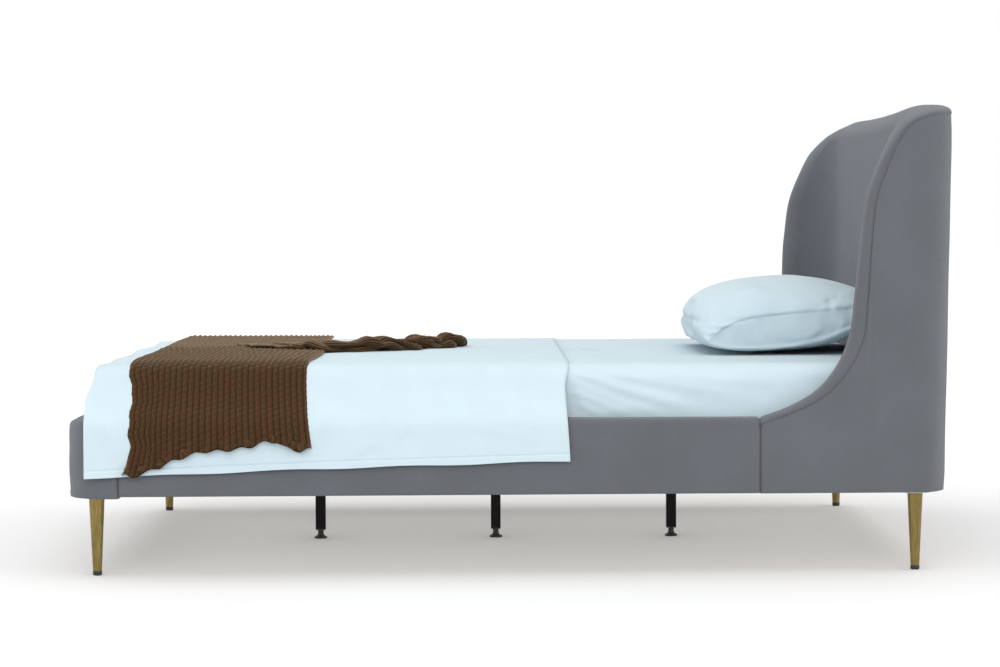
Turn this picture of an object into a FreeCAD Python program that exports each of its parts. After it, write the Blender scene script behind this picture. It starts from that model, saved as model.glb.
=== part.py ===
import FreeCAD, Part
import math
import os
from FreeCAD import Vector

# Upholstered wing-back platform bed, queen size, dressed with its bedding.
# Millimetres. +X is the right side seen from the foot, +Y points to the headboard, +Z is up.
# The origin is on the floor, in the middle of the bed's footprint.

# ---- mattress and the room round it ----
MATTRESS_WIDTH = 1524.0
MATTRESS_LENGTH = 2032.0
MATTRESS_FOOT_Y = -1038.0
DECK_Z = 280.0                       # top of the slats
MATTRESS_TOP_Z = 518.0
LIFT_GAP = 0.4                       # between bodies that only rest on each other
MATTRESS_CORNER_R = 60.0             # in plan
MATTRESS_EDGE_R = 30.0               # along the top and bottom edges

# ---- upholstered outline ----
INNER_X = 770.0
OUTER_X = 830.0
FOOT_Y = -1107.0
FOOT_INNER_Y = -1047.0
HEAD_INNER_Y = 1000.0
CORNER_R = 110.0
INNER_CORNER_R = 60.0
FOOT_SEAM_Y = -974.0
HEAD_SEAM_Y = 614.0
COVER_BOTTOM_Z = 195.0
RAIL_BOTTOM_Z = 200.0
RAIL_TOP_Z = 388.0
FOOT_TOP_Z = 386.0
RAIL_EDGE_R = 12.0
BACK_LOW_Y = 1089.0                  # headboard's back at the bottom edge
BACK_LEAN = 17.0 / 856.0             # the back leans away from the mattress by this slope
WING_SPLIT_X = 700.0                 # the wings' padding meets the middle padding here

# Front edge of the wings in the YZ plane, from the side rail to the headboard's top.
WING_EDGE = [(614, 388), (682, 412), (756, 454), (808, 517), (838, 590), (852, 693),
             (866, 828), (881, 937), (910, 1015), (946, 1087), (988, 1134), (1040, 1172)]
# Crown of the headboard in the XZ plane, right half.
CROWN = [(0, 1180), (577, 1177), (730, 1168), (800, 1161)]
CROWN_SHOULDER = [(800, 1161), (821, 1148), (831, 1118)]

# ---- timber frame ----
CORE_BOTTOM_Z = 199.0
CORE_TOP_Z = 376.0
BOARD_OUTER_X = 806.0                # the rail boards lie from INNER_X to here
BLOCK_TOP_Z = 260.0
FOOT_BOARD_BACK_Y = -1083.0
PLY_FRONT_Y = 1018.0
PLY_THICK = 9.0
POST_BACK_Y = 1063.0
POST_INNER_X = 740.0
POST_OUTER_X = 780.0
FRAME_TOP_Z = 1110.0
WING_PANEL_OUTER_X = 800.0
BLOCK_INNER_X = 700.0
HEAD_BLOCK_Y = 940.0

# ---- slatted base ----
SLAT_COUNT = 14
SLAT_WIDTH = 70.0
SLAT_THICK = 20.0
SLAT_HALF_LENGTH = 768.0
FIRST_SLAT_Y = -990.0
LAST_SLAT_Y = 918.0
LEDGER_X = 740.0
LEDGER_BOTTOM_Z = 220.0
TAPE_X = 500.0
TAPE_WIDTH = 25.0
TAPE_THICK = 1.5
BEAM_WIDTH = 40.0
BEAM_BOTTOM_Z = 200.0
HANGER_THICK = 3.0

# ---- legs ----
LEG_X = 767.0
FOOT_LEG_Y = -1035.0
HEAD_LEG_Y = 1010.0
LEG_TOP_R = 19.5
LEG_LOW_R = 11.0
GLIDE_HEIGHT = 11.0
PLATE_SIZE = 60.0
STUD_R = 4.0
CENTRE_LEG_Y = {"foot": -527.0, "middle": -41.0, "head": 448.0}
TUBE_SIZE = 27.0
TUBE_WALL = 1.5
TUBE_END_Z = 24.0
STEM_R = 8.0
STEM_GAP = 0.05                      # radial running gap of the levelling stem
PAD_R = 17.5

# ---- bedding ----
SHEET_THICK = 2.0
FLAT_THICK = 2.5
LAYER_GAP = 0.3
FLAT_HEAD_Y = 140.0
FLAT_FOOT_Y = -1044.0
THROW_FOOT_Y = -953.0
THROW_HEAD_Y = -513.0
THROW_THICK = 8.0
PILLOW_BOX = ((-350.0, 492.0), (380.0, 990.0))
PILLOW_THICK = 196.0
PILLOW_R = 84.0

os.makedirs("parts", exist_ok=True)


# ---- helpers ----
def box(x0, x1, y0, y1, z0, z1):
    return Part.makeBox(x1 - x0, y1 - y0, z1 - z0, Vector(x0, y0, z0))


def cylinder(radius, start, direction, length):
    return Part.makeCylinder(radius, length, start, direction)


def mirrored(shape):
    return shape.mirror(Vector(0, 0, 0), Vector(1, 0, 0))


def prism(points, run):
    wire = Part.makePolygon(list(points) + [points[0]])
    return Part.Face(wire).extrude(run)


def side_prism(edges_yz, x0, x1):
    face = Part.Face(Part.Wire(edges_yz))
    solid = face.extrude(Vector(x1 - x0, 0, 0))
    solid.translate(Vector(x0, 0, 0))
    return solid


def line(a, b):
    return Part.makeLine(a, b)


def arc_about(cx, cy, radius, start_deg, end_deg, z):
    angles = [math.radians(a) for a in (start_deg, (start_deg + end_deg) / 2.0, end_deg)]
    points = [Vector(cx + radius * math.cos(a), cy + radius * math.sin(a), z) for a in angles]
    return Part.Arc(*points).toShape()


def spline(points):
    curve = Part.BSplineCurve()
    curve.interpolate(points)
    return curve.toShape()


def yz(points):
    return [Vector(0, y, z) for y, z in points]


def edges_where(shape, test):
    return [edge for edge in shape.Edges if test(edge.BoundBox)]


def cut_all(shape, tools):
    for tool in tools:
        shape = shape.cut(tool)
    return shape


def group(shapes):
    return Part.makeCompound(shapes)


def save(name, shape):
    solids = shape.Solids
    assert solids and shape.isValid(), name
    assert all(s.isClosed() and s.Volume > 1.0 for s in solids), name
    out = solids[0] if len(solids) == 1 else Part.makeCompound(solids)
    out.exportStep("parts/" + name + ".step")


def save_pair(name, right_shape):
    save("right_" + name, right_shape)
    save("left_" + name, mirrored(right_shape))


# ---- fasteners and metal fittings that other pieces are cut for ----
def leg_centres():
    return [(sx * LEG_X, y) for y in (FOOT_LEG_Y, HEAD_LEG_Y) for sx in (-1, 1)]


def leg_plates():
    half = PLATE_SIZE / 2.0
    plates = []
    for x, y in leg_centres():
        plate = box(x - half, x + half, y - half, y + half, COVER_BOTTOM_Z, CORE_BOTTOM_Z)
        plates.append(plate.cut(cylinder(STUD_R, Vector(x, y, 190), Vector(0, 0, 1), 20)))
    return plates


def leg_studs():
    return [cylinder(STUD_R, Vector(x, y, COVER_BOTTOM_Z - 30), Vector(0, 0, 1), 70)
            for x, y in leg_centres()]


CONNECTOR_Y = ((-1030.0, -918.0), (558.0, 670.0))
CONNECTOR_THICK = 5.0
CONNECTOR_Z = (296.0, 360.0)
BOLT_INSET = 18.0
BOLT_SPACING = 20.0


def connector_bolt(y, z):
    head = cylinder(7.0, Vector(INNER_X, y, z), Vector(1, 0, 0), 3.0)
    shank = cylinder(3.5, Vector(INNER_X + 3.0, y, z), Vector(1, 0, 0), 28.0)
    return head.fuse(shank)


def connector_set():
    """Right-hand connector plates and bolts: one plate over each seam of the side rail."""
    middle_z = sum(CONNECTOR_Z) / 2.0
    plates, bolts = [], []
    for y0, y1 in CONNECTOR_Y:
        plate = box(INNER_X, INNER_X + CONNECTOR_THICK, y0, y1, *CONNECTOR_Z)
        places = (y0 + BOLT_INSET, y0 + BOLT_INSET + BOLT_SPACING,
                  y1 - BOLT_INSET - BOLT_SPACING, y1 - BOLT_INSET)
        set_bolts = [connector_bolt(y, middle_z) for y in places]
        plates.append(cut_all(plate, set_bolts))
        bolts += set_bolts
    return plates, bolts


PLATES = leg_plates()
STUDS = leg_studs()
CONNECTORS, BOLTS = connector_set()
CONNECTOR_ROOM = [box(INNER_X, INNER_X + CONNECTOR_THICK, y0, y1, *CONNECTOR_Z)
                  for y0, y1 in CONNECTOR_Y] + BOLTS


def ledger_screw(y):
    head = cylinder(4.5, Vector(LEDGER_X, y, 240), Vector(1, 0, 0), 3.0)
    shank = cylinder(2.25, Vector(LEDGER_X + 3.0, y, 240), Vector(1, 0, 0), 50.0)
    return head.fuse(shank)


RAIL_LEDGER_Y = (FOOT_SEAM_Y, HEAD_SEAM_Y)
HEAD_LEDGER_Y = (HEAD_SEAM_Y, HEAD_BLOCK_Y)
LEDGER_SCREWS = [ledger_screw(y) for y in (-900, -540, -180, 180, 540, 680, 870)]


def slat_screws():
    screws = []
    for y in (FIRST_SLAT_Y, LAST_SLAT_Y):
        for x in (-755.0, 755.0):
            head = cylinder(4.0, Vector(x, y, DECK_Z - 2.0), Vector(0, 0, 1), 2.0)
            shank = cylinder(2.0, Vector(x, y, DECK_Z - 40.0), Vector(0, 0, 1), 38.0)
            screws.append(head.fuse(shank))
    return screws


SLAT_SCREWS = slat_screws()


# ---- side rails ----
def rail_board():
    board = box(INNER_X, BOARD_OUTER_X, FOOT_SEAM_Y, HEAD_SEAM_Y, RAIL_BOTTOM_Z + 6, CORE_TOP_Z)
    return cut_all(board, CONNECTOR_ROOM + LEDGER_SCREWS)


def rail_padding():
    pad = box(INNER_X, OUTER_X, FOOT_SEAM_Y, HEAD_SEAM_Y, RAIL_BOTTOM_Z, RAIL_TOP_Z)
    long_edges = edges_where(pad, lambda b: b.YLength > 1000 and not (b.XMax < OUTER_X - 1
                                                                       and b.ZMax < RAIL_TOP_Z - 1))
    pad = pad.makeFillet(RAIL_EDGE_R, long_edges)
    return pad.cut(box(INNER_X, BOARD_OUTER_X, FOOT_SEAM_Y, HEAD_SEAM_Y,
                       RAIL_BOTTOM_Z + 6, CORE_TOP_Z))


# ---- footboard ----
def foot_corner_outline(x_in, y_end, arc_r, z):
    """Right corner plan: straight along the foot, round the corner, straight along the side."""
    cx, cy = OUTER_X - CORNER_R, FOOT_Y + CORNER_R
    return [line(Vector(x_in, cy - arc_r, z), Vector(cx, cy - arc_r, z)),
            arc_about(cx, cy, arc_r, -90, 0, z),
            line(Vector(cx + arc_r, cy, z), Vector(cx + arc_r, y_end, z))]


CORE_ARC_R = CORNER_R - (OUTER_X - BOARD_OUTER_X)


def foot_corner_post():
    z = BLOCK_TOP_Z
    outline = foot_corner_outline(BLOCK_INNER_X, FOOT_SEAM_Y, CORE_ARC_R, z)
    inner = [Vector(BOARD_OUTER_X, FOOT_SEAM_Y, z), Vector(INNER_X, FOOT_SEAM_Y, z),
             Vector(INNER_X, FOOT_INNER_Y, z), Vector(BLOCK_INNER_X, FOOT_INNER_Y, z),
             Vector(BLOCK_INNER_X, FOOT_BOARD_BACK_Y, z)]
    outline += [line(a, b) for a, b in zip(inner, inner[1:])]
    post = Part.Face(Part.Wire(outline)).extrude(Vector(0, 0, CORE_TOP_Z - z))
    return cut_all(post, CONNECTOR_ROOM)


def foot_corner_block():
    z = CORE_BOTTOM_Z
    outline = foot_corner_outline(BLOCK_INNER_X, FOOT_SEAM_Y, CORE_ARC_R, z)
    outline += [line(Vector(BOARD_OUTER_X, FOOT_SEAM_Y, z), Vector(BLOCK_INNER_X, FOOT_SEAM_Y, z)),
                line(Vector(BLOCK_INNER_X, FOOT_SEAM_Y, z),
                     Vector(BLOCK_INNER_X, FOOT_BOARD_BACK_Y, z))]
    block = Part.Face(Part.Wire(outline)).extrude(Vector(0, 0, BLOCK_TOP_Z - z))
    return cut_all(block, STUDS + SLAT_SCREWS)


def footboard_board():
    return box(-BLOCK_INNER_X, BLOCK_INNER_X, FOOT_BOARD_BACK_Y, FOOT_INNER_Y,
               CORE_BOTTOM_Z, CORE_TOP_Z)


def footboard_padding():
    z = COVER_BOTTOM_Z
    right = foot_corner_outline(0, FOOT_SEAM_Y, CORNER_R, z)
    left = [mirrored(edge) for edge in right]
    corners = [Vector(OUTER_X, FOOT_SEAM_Y, z), Vector(INNER_X, FOOT_SEAM_Y, z),
               Vector(INNER_X, FOOT_INNER_Y, z), Vector(-INNER_X, FOOT_INNER_Y, z),
               Vector(-INNER_X, FOOT_SEAM_Y, z), Vector(-OUTER_X, FOOT_SEAM_Y, z)]
    inner = [line(a, b) for a, b in zip(corners, corners[1:])]
    wire = Part.Wire(Part.__sortEdges__(right + left + inner))
    pad = Part.Face(wire).extrude(Vector(0, 0, FOOT_TOP_Z - z))
    outer_edges = edges_where(pad, lambda b: b.ZLength < 1 and b.YMin < FOOT_SEAM_Y - 1
                              and (b.YMax < FOOT_INNER_Y - 1 or b.XMin > OUTER_X - CORNER_R - 1
                                   and b.XMax > INNER_X + 1
                                   or b.XMax < CORNER_R + 1 - OUTER_X and b.XMin < -INNER_X - 1))
    pad = pad.makeFillet(RAIL_EDGE_R, outer_edges)
    blocks = [foot_corner_block(), foot_corner_post()]
    blocks += [mirrored(b) for b in blocks]
    room = CONNECTOR_ROOM + [mirrored(c) for c in CONNECTOR_ROOM]
    return cut_all(pad, blocks + room + STUDS + PLATES + SLAT_SCREWS + [footboard_board()])


# ---- headboard and wings ----
def back_y(z):
    return BACK_LOW_Y + (z - COVER_BOTTOM_Z) * BACK_LEAN


def headboard_plan(z):
    back = back_y(z)
    cx, cy = OUTER_X - CORNER_R, back - CORNER_R
    ix, iy = INNER_X - INNER_CORNER_R, HEAD_INNER_Y - INNER_CORNER_R
    return Part.Wire([
        line(Vector(OUTER_X, HEAD_SEAM_Y, z), Vector(OUTER_X, cy, z)),
        arc_about(cx, cy, CORNER_R, 0, 90, z),
        line(Vector(cx, back, z), Vector(-cx, back, z)),
        arc_about(-cx, cy, CORNER_R, 90, 180, z),
        line(Vector(-OUTER_X, cy, z), Vector(-OUTER_X, HEAD_SEAM_Y, z)),
        line(Vector(-OUTER_X, HEAD_SEAM_Y, z), Vector(-INNER_X, HEAD_SEAM_Y, z)),
        line(Vector(-INNER_X, HEAD_SEAM_Y, z), Vector(-INNER_X, iy, z)),
        arc_about(-ix, iy, INNER_CORNER_R, 180, 90, z),
        line(Vector(-ix, HEAD_INNER_Y, z), Vector(ix, HEAD_INNER_Y, z)),
        arc_about(ix, iy, INNER_CORNER_R, 90, 0, z),
        line(Vector(INNER_X, iy, z), Vector(INNER_X, HEAD_SEAM_Y, z))])


def headboard_side_limits():
    """Everything between the wings' front edge, the top and the rounded back edge."""
    top_z, back = 1200.0, 1130.0
    front = spline(yz(WING_EDGE))
    top_back = [(1078, 1182), (1100, 1173), (1108.5, 1146)]
    roll = Part.Arc(*yz(top_back)).toShape()
    corners = yz([WING_EDGE[-1], (1050, top_z), (1070, top_z), top_back[0]])
    outline = [front] + [line(a, b) for a, b in zip(corners, corners[1:])] + [roll]
    rest = yz([top_back[-1], (back, 1146), (back, COVER_BOTTOM_Z),
               (HEAD_SEAM_Y, COVER_BOTTOM_Z), WING_EDGE[0]])
    outline += [line(a, b) for a, b in zip(rest, rest[1:])]
    return side_prism(outline, -OUTER_X - 10, OUTER_X + 10)


def headboard_crown_limits():
    """Everything below the crowned top, with a rounded shoulder over each wing."""
    y0 = 600.0

    def xz(x, z):
        return Vector(x, y0, z)

    half = [xz(x, z) for x, z in reversed(CROWN)]
    crown = half + [xz(-x, z) for x, z in CROWN[1:]]
    shoulder = [xz(x, z) for x, z in CROWN_SHOULDER]
    far_shoulder = [xz(-x, z) for x, z in CROWN_SHOULDER]
    edge_x = OUTER_X + 5
    low = [shoulder[2], xz(edge_x, CROWN_SHOULDER[2][1]), xz(edge_x, 190), xz(-edge_x, 190),
           xz(-edge_x, CROWN_SHOULDER[2][1]), far_shoulder[2]]
    outline = [spline(crown), Part.Arc(*shoulder).toShape(), Part.Arc(*far_shoulder).toShape()]
    outline += [line(a, b) for a, b in zip(low, low[1:])]
    face = Part.Face(Part.Wire(Part.__sortEdges__(outline)))
    return face.extrude(Vector(0, 540, 0))


def headboard_body():
    plans = [headboard_plan(COVER_BOTTOM_Z), headboard_plan(1195.0)]
    body = Part.makeLoft(plans, True, True)
    return body.common(headboard_side_limits()).common(headboard_crown_limits())


def wing_panel():
    """Plywood blank inside a wing, standing on the base rail."""
    edge = [(690, 376), (765, 412), (815, 462), (858, 545), (876, 690), (892, 840),
            (912, 960), (958, 1060), (1000, 1095)]
    corners = yz([edge[-1], (1040, 1100), (1040, CORE_TOP_Z), edge[0]])
    outline = [spline(yz(edge))] + [line(a, b) for a, b in zip(corners, corners[1:])]
    return side_prism(outline, POST_OUTER_X, WING_PANEL_OUTER_X)


def wing_base_rail():
    rail = box(INNER_X, BOARD_OUTER_X, HEAD_SEAM_Y, HEAD_BLOCK_Y, CORE_BOTTOM_Z, CORE_TOP_Z)
    return cut_all(rail, CONNECTOR_ROOM + LEDGER_SCREWS)


def head_corner_block():
    block = box(BLOCK_INNER_X, BOARD_OUTER_X, HEAD_BLOCK_Y, PLY_FRONT_Y,
                CORE_BOTTOM_Z, BLOCK_TOP_Z)
    return cut_all(block, STUDS + SLAT_SCREWS)


def headboard_post():
    return box(POST_INNER_X, POST_OUTER_X, PLY_FRONT_Y + PLY_THICK, POST_BACK_Y,
               CORE_BOTTOM_Z, FRAME_TOP_Z)


CROSS_RAILS = {"lower": (CORE_BOTTOM_Z, 262.0), "middle": (640.0, 690.0),
               "upper": (1060.0, FRAME_TOP_Z)}


def headboard_cross_rail(z0, z1):
    return box(-POST_INNER_X, POST_INNER_X, PLY_FRONT_Y + PLY_THICK, POST_BACK_Y, z0, z1)


def headboard_ply():
    return box(-POST_OUTER_X, POST_OUTER_X, PLY_FRONT_Y, PLY_FRONT_Y + PLY_THICK,
               CORE_BOTTOM_Z, FRAME_TOP_Z)


def headboard_room():
    """The space that the timber frame takes inside the headboard's padding."""
    right = [wing_panel(), wing_base_rail(), head_corner_block()] + CONNECTOR_ROOM + LEDGER_SCREWS
    frame = box(-POST_OUTER_X, POST_OUTER_X, PLY_FRONT_Y, POST_BACK_Y,
                CORE_BOTTOM_Z, FRAME_TOP_Z)
    return right + [mirrored(s) for s in right] + [frame] + STUDS + PLATES + SLAT_SCREWS


# ---- slatted base ----
def slat_places():
    pitch = (LAST_SLAT_Y - FIRST_SLAT_Y) / (SLAT_COUNT - 1)
    return [FIRST_SLAT_Y + i * pitch for i in range(SLAT_COUNT)]


def slats():
    half = SLAT_WIDTH / 2.0
    blanks = [box(-SLAT_HALF_LENGTH, SLAT_HALF_LENGTH, y - half, y + half,
                  DECK_Z - SLAT_THICK, DECK_Z) for y in slat_places()]
    return [cut_all(blank, SLAT_SCREWS) for blank in blanks]


def slat_tapes():
    y0, y1 = FIRST_SLAT_Y - 30, LAST_SLAT_Y + 30
    top = DECK_Z - SLAT_THICK
    half = TAPE_WIDTH / 2.0
    return [box(x - half, x + half, y0, y1, top - TAPE_THICK, top) for x in (-TAPE_X, TAPE_X)]


def ledger(y0, y1):
    strip_of_wood = box(LEDGER_X, INNER_X, y0, y1, LEDGER_BOTTOM_Z, BLOCK_TOP_Z)
    return cut_all(strip_of_wood, LEDGER_SCREWS + SLAT_SCREWS)


BEAM_Y = (FOOT_INNER_Y + HANGER_THICK, PLY_FRONT_Y - HANGER_THICK)


def centre_beam():
    half = BEAM_WIDTH / 2.0
    return box(-half, half, *BEAM_Y, BEAM_BOTTOM_Z, BLOCK_TOP_Z)


def beam_hanger(wall_y, direction):
    """A folded steel saddle: a flange on the wall, a floor and two cheeks round the beam's end."""
    half = BEAM_WIDTH / 2.0 + HANGER_THICK
    inner_y = wall_y + direction * HANGER_THICK
    end_y = wall_y + direction * 35.0
    flange = box(-half - 20, half + 20, min(wall_y, inner_y), max(wall_y, inner_y),
                 BEAM_BOTTOM_Z - HANGER_THICK, BLOCK_TOP_Z)
    saddle = box(-half, half, min(inner_y, end_y), max(inner_y, end_y),
                 BEAM_BOTTOM_Z - HANGER_THICK, BLOCK_TOP_Z)
    return flange.fuse(saddle).cut(centre_beam())


# ---- legs ----
def corner_leg(x, y):
    height = COVER_BOTTOM_Z - GLIDE_HEIGHT
    leg = Part.makeCone(LEG_LOW_R, LEG_TOP_R, height, Vector(x, y, GLIDE_HEIGHT))
    return cut_all(leg, STUDS + [glide_stem(x, y)])


def glide_stem(x, y):
    return cylinder(5.0, Vector(x, y, GLIDE_HEIGHT - 1), Vector(0, 0, 1), 13.0)


def leg_glide(x, y):
    cap = Part.makeCylinder(LEG_LOW_R + 0.4, GLIDE_HEIGHT, Vector(x, y, 0))
    cap = cap.makeFillet(3.5, edges_where(cap, lambda b: b.ZMax < 0.5))
    return cap.fuse(glide_stem(x, y))


def centre_leg_tube(y):
    half = TUBE_SIZE / 2.0
    bore = half - TUBE_WALL
    z0, z1 = TUBE_END_Z + 3.0, BEAM_BOTTOM_Z - 3.0
    tube = box(-half, half, y - half, y + half, z0, z1)
    return tube.cut(box(-bore, bore, y - bore, y + bore, z0, z1))


def centre_leg_flange(y):
    half = 30.0
    return box(-half, half, y - half, y + half, BEAM_BOTTOM_Z - 3.0, BEAM_BOTTOM_Z)


def centre_leg_insert(y):
    half = TUBE_SIZE / 2.0
    bore = half - TUBE_WALL
    cap = box(-half, half, y - half, y + half, TUBE_END_Z, TUBE_END_Z + 3.0)
    plug = box(-bore, bore, y - bore, y + bore, TUBE_END_Z + 3.0, TUBE_END_Z + 40.0)
    hole = cylinder(STEM_R, Vector(0, y, TUBE_END_Z), Vector(0, 0, 1), 40.0)
    return cap.fuse(plug).cut(hole)


def levelling_foot(y):
    """Threaded stem with a bell-shaped base, turned from one outline."""
    stem_r = STEM_R - STEM_GAP
    top_z = TUBE_END_Z + 34.0
    low = [Vector(0, y, 0), Vector(0, y + PAD_R - 1.5, 0), Vector(0, y + PAD_R, 1.5),
           Vector(0, y + PAD_R, 5.0)]
    bell = Part.Arc(low[-1], Vector(0, y + 11.0, 8.0), Vector(0, y + stem_r, 14.0)).toShape()
    high = [Vector(0, y + stem_r, 14.0), Vector(0, y + stem_r, top_z), Vector(0, y, top_z), low[0]]
    outline = [line(a, b) for a, b in zip(low, low[1:])] + [bell]
    outline += [line(a, b) for a, b in zip(high, high[1:])]
    return Part.Face(Part.Wire(outline)).revolve(Vector(0, y, 0), Vector(0, 0, 1), 360)


# ---- bedding ----
def rounded_block(x0, x1, y0, y1, z0, z1, corner_r, edge_r):
    block = box(x0, x1, y0, y1, z0, z1)
    block = block.makeFillet(corner_r, edges_where(block, lambda b: b.ZLength > (z1 - z0) / 2))
    return block.makeFillet(edge_r, edges_where(block, lambda b: b.ZLength < 1))


MATTRESS_HALF = MATTRESS_WIDTH / 2.0
MATTRESS_HEAD_Y = MATTRESS_FOOT_Y + MATTRESS_LENGTH


def mattress():
    return rounded_block(-MATTRESS_HALF, MATTRESS_HALF, MATTRESS_FOOT_Y, MATTRESS_HEAD_Y,
                         DECK_Z + LIFT_GAP, MATTRESS_TOP_Z, MATTRESS_CORNER_R, MATTRESS_EDGE_R)


def fitted_sheet():
    grow = SHEET_THICK
    skin = rounded_block(-MATTRESS_HALF - grow, MATTRESS_HALF + grow, MATTRESS_FOOT_Y - grow,
                         MATTRESS_HEAD_Y + grow, DECK_Z, MATTRESS_TOP_Z + grow,
                         MATTRESS_CORNER_R + grow, MATTRESS_EDGE_R + grow)
    hem_z = DECK_Z + 36.0
    skin = skin.common(box(-900, 900, -1200, 1200, hem_z, MATTRESS_TOP_Z + 10))
    return skin.cut(mattress())


SHEET_TOP_Z = MATTRESS_TOP_Z + SHEET_THICK
DRAPE = [(740, SHEET_TOP_Z + LAYER_GAP), (760, 512.0), (767.5, 490.0), (800, 430.0),
         (834, 386.0), (834, 240.0)]


def offset_path(path, distance):
    """The same open path moved sideways, to the left of its direction, with mitred corners."""
    moved = []
    for i, point in enumerate(path):
        before = path[max(i - 1, 0)]
        after = path[min(i + 1, len(path) - 1)]
        normals = []
        for a, b in ((before, point), (point, after)):
            length = math.hypot(b[0] - a[0], b[1] - a[1])
            if length > 0:
                normals.append((-(b[1] - a[1]) / length, (b[0] - a[0]) / length))
        nx = sum(n[0] for n in normals) / len(normals)
        nz = sum(n[1] for n in normals) / len(normals)
        scale = distance / (nx * nx + nz * nz)
        moved.append((point[0] + nx * scale, point[1] + nz * scale))
    return moved


def strip(path, thick, y0, y1):
    ring = path + offset_path(path, thick)[::-1]
    return prism([Vector(x, y0, z) for x, z in ring], Vector(0, y1 - y0, 0))


def flat_sheet():
    path = [(-x, z) for x, z in reversed(DRAPE)] + DRAPE
    cloth = strip(path, FLAT_THICK, FLAT_FOOT_Y, FLAT_HEAD_Y)
    hem = [(-1100, 200), (-1100, 246), (200, 285), (200, 200)]
    cloth = cloth.cut(prism([Vector(-900, y, z) for y, z in hem], Vector(1800, 0, 0)))
    top = SHEET_TOP_Z + LAYER_GAP + FLAT_THICK
    tuck = box(-758, 758, FLAT_FOOT_Y, FLAT_FOOT_Y + FLAT_THICK, 300, top - 10)
    return cloth.fuse(tuck)


THROW_TAIL = [(266, -520), (266, -456), (107, -301), (55, -220), (-121, -131),
              (-250, -150), (-210, -320), (-120, -520)]
THROW_TAIL_HIGH = 26.0


def throw_blanket():
    lift = FLAT_THICK + LAYER_GAP
    path = offset_path([(-750, DRAPE[0][1])] + DRAPE, lift)
    band = strip(path, THROW_THICK, THROW_FOOT_Y, THROW_HEAD_Y)
    hem = [(-960, 200), (-960, 250), (-500, 322), (-500, 200)]
    band = band.cut(prism([Vector(0, y, z) for y, z in hem], Vector(900, 0, 0)))
    z = DRAPE[0][1] + lift
    tail = prism([Vector(x, y, z) for x, y in THROW_TAIL], Vector(0, 0, THROW_TAIL_HIGH))
    return band.fuse(tail)


def pillow():
    (x0, y0), (x1, y1) = PILLOW_BOX
    z0 = SHEET_TOP_Z + LIFT_GAP
    return rounded_block(x0, x1, y0, y1, z0, z0 + PILLOW_THICK, PILLOW_R + 20, PILLOW_R)


# ---- export ----
save_pair("side_rail_board", rail_board())
save_pair("side_rail_padding", rail_padding())
save("footboard_board", footboard_board())
save_pair("foot_corner_post", foot_corner_post())
save_pair("foot_corner_block", foot_corner_block())
save("footboard_padding", footboard_padding())

HEADBOARD = cut_all(headboard_body(), headboard_room())
HANGERS = [beam_hanger(FOOT_INNER_Y, 1), beam_hanger(PLY_FRONT_Y, -1)]
HEADBOARD = cut_all(HEADBOARD, HANGERS + [centre_beam()])
save("headboard_padding", HEADBOARD.common(box(-WING_SPLIT_X, WING_SPLIT_X, 500, 1200, 0, 1300)))
save_pair("wing_padding", HEADBOARD.common(box(WING_SPLIT_X, 900, 500, 1200, 0, 1300)))
save_pair("wing_panel", wing_panel())
save_pair("wing_base_rail", wing_base_rail())
save_pair("head_corner_block", head_corner_block())
save_pair("headboard_post", headboard_post())
for level, (low_z, high_z) in CROSS_RAILS.items():
    save("headboard_" + level + "_rail", headboard_cross_rail(low_z, high_z))
save("headboard_ply", headboard_ply())

save_pair("slat_ledger", ledger(*RAIL_LEDGER_Y))
save_pair("head_ledger", ledger(*HEAD_LEDGER_Y))
save("slats", group(slats()))
save("slat_tapes", group(slat_tapes()))
save("centre_beam", centre_beam())
save("beam_hangers", group(HANGERS))
save("connector_plates", group(CONNECTORS + [mirrored(s) for s in CONNECTORS]))
save("connector_bolts", group(BOLTS + [mirrored(s) for s in BOLTS]))
save("ledger_screws", group(LEDGER_SCREWS + [mirrored(s) for s in LEDGER_SCREWS]))
save("slat_screws", group(SLAT_SCREWS))
save("leg_plates", group(PLATES))
save("leg_studs", group(STUDS))

for end, leg_y in (("foot", FOOT_LEG_Y), ("head", HEAD_LEG_Y)):
    for side, leg_x in (("left", -LEG_X), ("right", LEG_X)):
        save(side + "_" + end + "_leg", corner_leg(leg_x, leg_y))
        save(side + "_" + end + "_glide", leg_glide(leg_x, leg_y))

for place, leg_y in CENTRE_LEG_Y.items():
    save(place + "_centre_leg", centre_leg_tube(leg_y))
    save(place + "_levelling_foot", levelling_foot(leg_y))
save("centre_leg_flanges", group([centre_leg_flange(y) for y in CENTRE_LEG_Y.values()]))
save("centre_leg_inserts", group([centre_leg_insert(y) for y in CENTRE_LEG_Y.values()]))

save("mattress", mattress())
save("fitted_sheet", fitted_sheet())
save("flat_sheet", flat_sheet())
save("throw_blanket", throw_blanket())
save("pillow", pillow())
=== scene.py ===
import math

import bpy
import numpy as np
from mathutils import Matrix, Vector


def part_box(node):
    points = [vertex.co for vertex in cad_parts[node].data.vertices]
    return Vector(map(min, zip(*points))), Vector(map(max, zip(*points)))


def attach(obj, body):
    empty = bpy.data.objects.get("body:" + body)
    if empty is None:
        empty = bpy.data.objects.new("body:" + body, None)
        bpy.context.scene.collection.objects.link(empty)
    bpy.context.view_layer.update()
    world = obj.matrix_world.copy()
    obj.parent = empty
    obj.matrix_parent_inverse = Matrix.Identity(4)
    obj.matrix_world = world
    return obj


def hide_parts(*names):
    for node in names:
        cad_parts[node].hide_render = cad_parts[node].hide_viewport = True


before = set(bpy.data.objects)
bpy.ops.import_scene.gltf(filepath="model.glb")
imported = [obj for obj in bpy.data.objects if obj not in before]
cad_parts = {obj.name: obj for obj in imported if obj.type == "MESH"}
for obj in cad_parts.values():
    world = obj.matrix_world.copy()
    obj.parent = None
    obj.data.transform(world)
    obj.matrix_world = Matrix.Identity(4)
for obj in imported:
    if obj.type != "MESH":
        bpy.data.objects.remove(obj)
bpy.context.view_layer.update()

TAU = 2 * math.pi
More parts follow.
